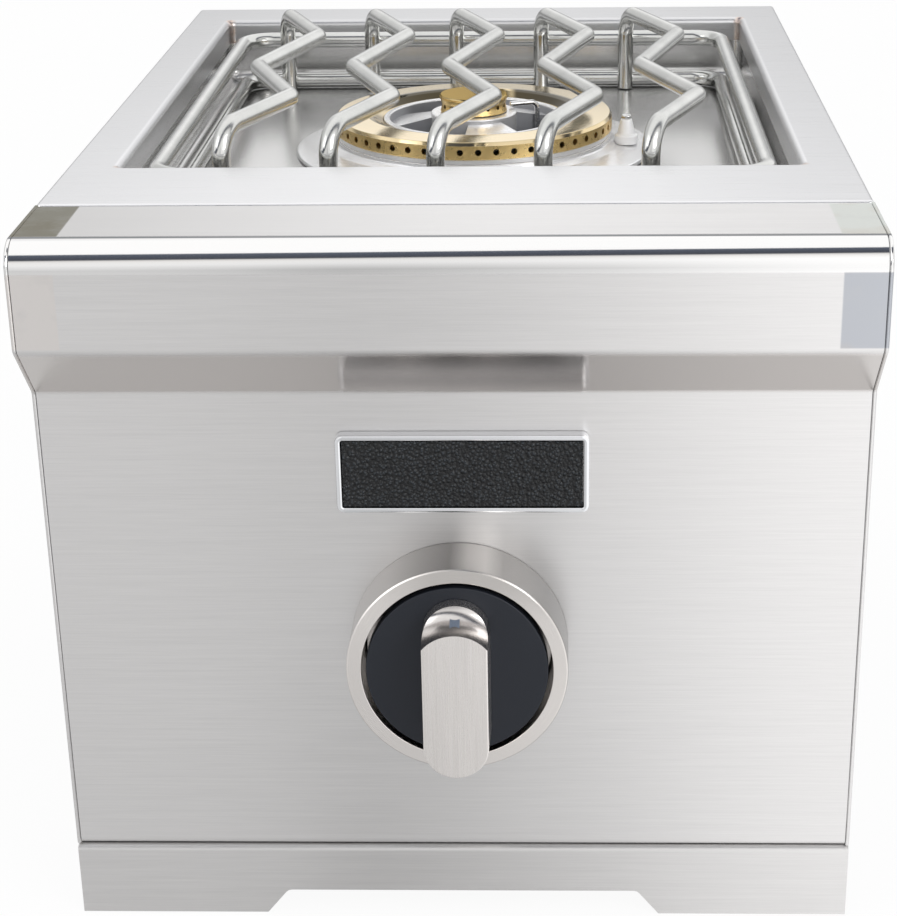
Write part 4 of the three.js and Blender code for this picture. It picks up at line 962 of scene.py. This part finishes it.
def make_bezel():
    well, floor, foot = 37.2, -2.3, -0.3
    cup = lathe("bezel_cup", flat_path([
        (14, foot, 0.2), (BEZEL_RADIUS, foot, 0.3), (BEZEL_RADIUS, BEZEL_FRONT + 0.6, 0.2),
        (BEZEL_RADIUS - 0.6, BEZEL_FRONT, 0.2), (well, BEZEL_FRONT, 0.35), (well, floor, 0.8),
        (14, floor, 0.3),
    ], closed=True), "Y", KNOB, 224)
    drill(cup, "Y", *BEZEL_SCREWS)
    dress(cup, [nickel_ring], "appliance", ["knob_bezel"], 25)

    rear, bore = -19.9, -18.8
    disc = lathe("disc_black_plate", flat_path([
        (0, -25.9), (35.3, -25.9, 0.5), (35.3, rear, 0.3), (12, rear, 0.5), (12, -8, 0.3),
        (4.3, -8, 0.2), (4.3, bore), (0, bore),
    ]), "Y", KNOB, 192)
    dress(disc, [disc_black], "knob_turn_body", ["knob_disc"], 30)


def make_lever():
    """Flat lever with a flared scoop at its upper end, where the pointer mark sits."""
    base, front = -26.2, -45.0
    half_width, below, above = 13.05, 37, 30.8

    def outline(inset, y):
        half = half_width - inset
        return [(a, y, b) for a, b in rectangle(
            KNOB_X - half, KNOB_X + half, KNOB_Z - below + inset, KNOB_Z + above - inset,
            half - 1e-4, math.pi / 40)]

    edge = ((0, base), (0.5, front + 0.5), (0.58, front + 0.22), (0.78, front + 0.06), (1.0, front))
    lever = loft("lever_bar", [outline(*at) for at in edge])

    start, flare, drop = 16, 6.5, 13
    scoop_z, rear = KNOB_Z + 8.3, front + drop
    curve = quarter(20, lambda t: (start + flare * (1 - math.cos(t)), front + drop * math.sin(t)))
    profile = [(start, front - 4), *curve, (34.8, rear), (34.8, front - 4)]
    flared = lathe("scoop", profile, "Y", (KNOB_X, scoop_z), 160)
    upper = rectangle(KNOB_X - FAR, KNOB_X + FAR, scoop_z, scoop_z + FAR)
    combine(flared, [prism("upper", upper, front - 8, base, "Y")], "INTERSECT")
    under = rectangle(KNOB_X - FAR, KNOB_X + FAR, KNOB_Z - below - 4, KNOB_Z - below + 3)
    undercut = prism("undercut", under, base - 4.3, base + 4, "Y")
    combine(lever, [flared, undercut], "DIFFERENCE")
    dress(lever, [nickel_bar, shaded_nickel_scoop], "knob_turn_body", ["knob_lever"], 28)

    def in_scoop(at, normal):
        away = math.hypot(at.x - KNOB_X, at.z - scoop_z)
        faces = normal.y < 0.98 and normal.z > 0.02
        return faces and at.z > scoop_z and at.y < rear + 0.1 and 15.9 < away < start + flare + 0.1

    two_finishes(lever, in_scoop)

    turn = 0.108 * 2 * math.pi
    tilt = math.atan2(flare * math.sin(turn), drop * math.cos(turn))
    sunk = 0.4
    middle = Vector((
        KNOB_X, front + drop * math.sin(turn) + sunk * math.sin(tilt),
        scoop_z + start + flare * (1 - math.cos(turn)) - sunk * math.cos(tilt)))
    along = Vector((0, math.cos(tilt), math.sin(tilt)))
    out = Vector((0, -math.sin(tilt), math.cos(tilt)))
    mark = rectangle(-1.9, 1.9, -2.6, 2.6, 0.3)
    pointer = loft("pointer_mark", [
        [tuple(middle + Vector((a, 0, 0)) + along * b + out * height) for a, b in mark]
        for height in (-0.5, 0.5)])
    bevelled(pointer, 0.08)
    dress(pointer, [mark_grey], "knob_turn_body", ["knob_pointer"])


def make_knob_spring():
    """The coil behind the knob, wound between the ends of the CAD spring's box."""
    low, high = (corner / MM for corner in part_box("knob_spring"))
    radius, wire, curls, steps = 6.2, 0.58, 5, 40
    start, end = low.y + FRAME_SHIFT + 0.6, high.y + FRAME_SHIFT - 0.6
    path = []
    for index in range(curls * steps + 1):
        angle = index * 2 * math.pi / steps
        y = start + (end - start) * index / (curls * steps)
        path.append(Vector((
            KNOB_X + radius * math.cos(angle), y, KNOB_Z + radius * math.sin(angle))))
    spring = sweep("coil_spring", path, wire, 16, end_round=0.1)
    dress(spring, [hardware], "appliance", ["knob_spring"], 40)
    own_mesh(spring)


# Name plate, bare

def make_name_plate():
    centre_x, centre_z = 3.5, 200.4
    half_x, half_z = 48.5, 15.9
    rear, shoulder = -0.3, -4.5

    def ring(inset, y):
        return [(a, y, b) for a, b in rectangle(
            centre_x - half_x + inset, centre_x + half_x - inset,
            centre_z - half_z + inset, centre_z + half_z - inset,
            max(SHEET_BEND - inset, 0.5), math.pi / 16)]

    rim = loft("plate_rim", [ring(*at) for at in (
        (0, rear), (0, shoulder), (0.25, -5.05), (0.8, -5.3), (1.5, -5.3), (2.0, -5.05),
        (2.2, shoulder), (2.2, rear))], endless=True)
    dress(rim, [chrome_rim], "appliance", ["nameplate_frame"], 40)
    insert = loft("plate_insert", [ring(*at) for at in (
        (2.5, rear), (2.5, shoulder), (2.7, shoulder - 0.2))])
    dress(insert, [plate_black], "appliance", ["nameplate_insert"], 40)


make_front_panel()
make_deck()
make_pan()
make_grate()
make_burner()
make_brass()
make_electrodes()
make_bezel()
make_lever()
make_knob_spring()
make_name_plate()


# Studio

LIGHT = 1.25

# Level of the light seen ahead of the panel and behind the appliance, by degrees to the right
FRONT_LIGHT = [
    (-180, 0.34), (-100, 0.45), (-60, 0.6), (-22, 0.6), (-11, 0.6), (-8.5, 0.55), (-6, 0.43),
    (-3.5, 0.5), (-1, 0.62), (1.5, 0.74), (5, 0.97), (8, 1.1), (25, 1.05), (60, 0.8), (100, 0.5),
    (180, 0.34),
]
REAR_LIGHT = [
    (-180, 0.7), (-60, 0.6), (-22, 0.7), (-12, 0.84), (-6, 0.95), (-2, 1.0), (2, 0.91), (8, 0.7),
    (20, 0.64), (60, 0.6), (180, 0.7),
]

# Colour by lift: 0 at the rear horizon, 0.5 overhead and 1 at the front horizon
OVERHEAD = [
    (0.0, (1.0, 1.0, 1.0)), (0.6, (1.0, 1.0, 1.0)), (0.613, (0.1, 0.115, 0.15)),
    (0.725, (0.055, 0.06, 0.075)), (0.745, (0.7, 0.685, 0.675)), (0.78, (0.9, 0.89, 0.88)),
    (0.84, (1.0, 1.0, 1.0)), (1.0, (0.92, 0.92, 0.92)),
]
REAR_HORIZON = [
    (0.0, (0.3, 0.3, 0.305)), (0.05, (0.55, 0.55, 0.555)), (0.073, (1.0, 1.0, 1.0)),
    (0.09, (1.08, 1.08, 1.08)), (0.14, (1.0, 1.0, 1.0)),
]
GAP_TILT = 54.0  # degrees by which the dark gap rises from one side to the other

# The photograph's viewpoint, from the panel's and the rings' edges; angles are radians
VIEWPOINT = (39.59660871, -774.47444017, 509.19572498)
YAW, PITCH, ROLL = -0.0286, 0.4116, 0.0117
FOCAL, CENTRE_U, CENTRE_V = 2173.58, 500.0, 540.0  # pixels of the photograph
PHOTO_WIDTH, PHOTO_HEIGHT = 897, 916
SENSOR = 36.0


def look_camera():
    forward = Vector((
        math.sin(YAW) * math.cos(PITCH), math.cos(YAW) * math.cos(PITCH), -math.sin(PITCH)))
    right = Vector((math.cos(YAW), -math.sin(YAW), 0.0))
    down = forward.cross(right)
    right, down = (math.cos(ROLL) * right + math.sin(ROLL) * down,
                   math.cos(ROLL) * down - math.sin(ROLL) * right)
    data = bpy.data.cameras.new("camera")
    data.sensor_width = SENSOR
    data.lens = FOCAL * SENSOR / PHOTO_HEIGHT
    data.shift_x = (PHOTO_WIDTH / 2 - CENTRE_U) / PHOTO_HEIGHT
    data.shift_y = (CENTRE_V - PHOTO_HEIGHT / 2) / PHOTO_HEIGHT
    data.clip_start, data.clip_end = 0.05, 50.0
    camera = shown("camera", data)
    turn = Matrix((right, -down, -forward)).transposed().to_4x4()
    camera.matrix_world = Matrix.Translation(place(*VIEWPOINT)) @ turn
    bpy.context.scene.camera = camera


def light_across(made, x, y, stops):
    """Studio light by the angle right of straight ahead, where y points ahead."""
    degrees = made.math("MULTIPLY", made.math("ARCTAN2", x, y), 180 / math.pi)
    share = made.math("DIVIDE", made.math("ADD", degrees, 180.0), 360.0)
    return made.ramp(share, *[((angle + 180) / 360, (level,) * 3) for angle, level in stops])


def make_floor():
    """Pale floor that shows white to the camera and as studio light to metal."""
    reach, drop = 20.0, -0.0002
    mesh = bpy.data.meshes.new("floor")
    corners = ((-reach, -reach), (reach, -reach), (reach, reach), (-reach, reach))
    mesh.from_pydata([(x, y, drop) for x, y in corners], [], [(0, 1, 2, 3)])
    floor = shown("floor", mesh)
    made = Recipe("floor_white", Base_Color=(0.86, 0.86, 0.86, 1), Roughness=0.9)
    path = made.node("ShaderNodeLightPath").outputs
    seen = made.math("MULTIPLY", path["Is Camera Ray"], 0.93)
    reflected = made.math("MULTIPLY", path["Is Glossy Ray"], 0.8)
    glowing = made.math("MAXIMUM", made.math("MAXIMUM", seen, reflected),
                        path["Is Transmission Ray"])

    # By the angle from the mirror image of the photograph's viewpoint, dimmer near the panel
    x, y, z = made.axes()
    ahead = made.math("MULTIPLY", y, -1.0)
    across = light_across(
        made, made.math("SUBTRACT", x, 0.04), made.math("ADD", ahead, 0.55), FRONT_LIGHT)
    near = made.between(ahead, 0.3, 0.8, 0.86, 1.0)
    extra = made.math("MULTIPLY_ADD", near, LIGHT, -1.0)
    glow = made.node("ShaderNodeEmission", {
        "Color": made.mix(path["Is Glossy Ray"], (1, 1, 1), across),
        "Strength": made.math("MULTIPLY_ADD", path["Is Glossy Ray"], extra, 1.0)})
    mixed = made.node("ShaderNodeMixShader", {
        0: glowing, 1: made.shader.outputs[0], 2: glow.outputs[0]})
    made.feed(made.tree.nodes["Material Output"].inputs["Surface"], mixed.outputs[0])
    mesh.materials.append(made.material)


def make_world():
    """White studio walls, with a dark gap between the overhead light and the front wall."""
    world = bpy.data.worlds.new("studio")
    world.use_nodes = True
    bpy.context.scene.world = world
    made = Nodes(world.node_tree)
    x, y, z = made.split(made.node("ShaderNodeTexCoord").outputs["Generated"])
    height = made.math("ABSOLUTE", z)
    lift = made.math("MULTIPLY", made.math("ARCTAN2", height, y), 180 / math.pi)
    share = made.math("DIVIDE", made.math("MULTIPLY_ADD", x, GAP_TILT, lift), 180.0)
    horizon = made.ramp(made.math("DIVIDE", lift, 180.0), *REAR_HORIZON)
    toned = made.mix(1.0, made.ramp(share, *OVERHEAD), horizon, "MULTIPLY")
    front = light_across(made, x, made.math("MULTIPLY", y, -1.0), FRONT_LIGHT)
    toned = made.mix(made.between(share, 0.74, 1.0), toned, front, "MULTIPLY")
    rear = light_across(made, x, y, REAR_LIGHT)
    toned = made.mix(made.between(share, 0.12, 0.24, 1.0, 0.0), toned, rear, "MULTIPLY")

    background = made.tree.nodes["Background"]
    made.feed(background.inputs["Color"], toned)
    made.feed(background.inputs["Strength"], LIGHT)
    white = made.node("ShaderNodeBackground", {"Color": (1, 1, 1, 1)})
    path = made.node("ShaderNodeLightPath").outputs
    mixed = made.node("ShaderNodeMixShader", {
        0: path["Is Camera Ray"], 1: background.outputs[0], 2: white.outputs[0]})
    made.feed(made.tree.nodes["World Output"].inputs["Surface"], mixed.outputs[0])


def make_lamp(name, at, target, power):
    data = bpy.data.lights.new(name, "AREA")
    data.shape = "RECTANGLE"
    data.size = data.size_y = 0.9
    data.energy = power
    lamp = shown(name, data)
    lamp.location = Vector(at)
    lamp.rotation_mode = "QUATERNION"
    lamp.rotation_quaternion = (Vector(target) - Vector(at)).to_track_quat("-Z", "Y")


look_camera()
make_floor()
make_world()
make_lamp("key", (1.1, -1.2, 1.0), (0.05, 0.0, 0.15), 9.0)
make_lamp("fill", (-1.3, -0.9, 1.2), (0.0, 0.0, 0.15), 3.0)

scene = bpy.context.scene
scene.view_settings.view_transform = "Standard"
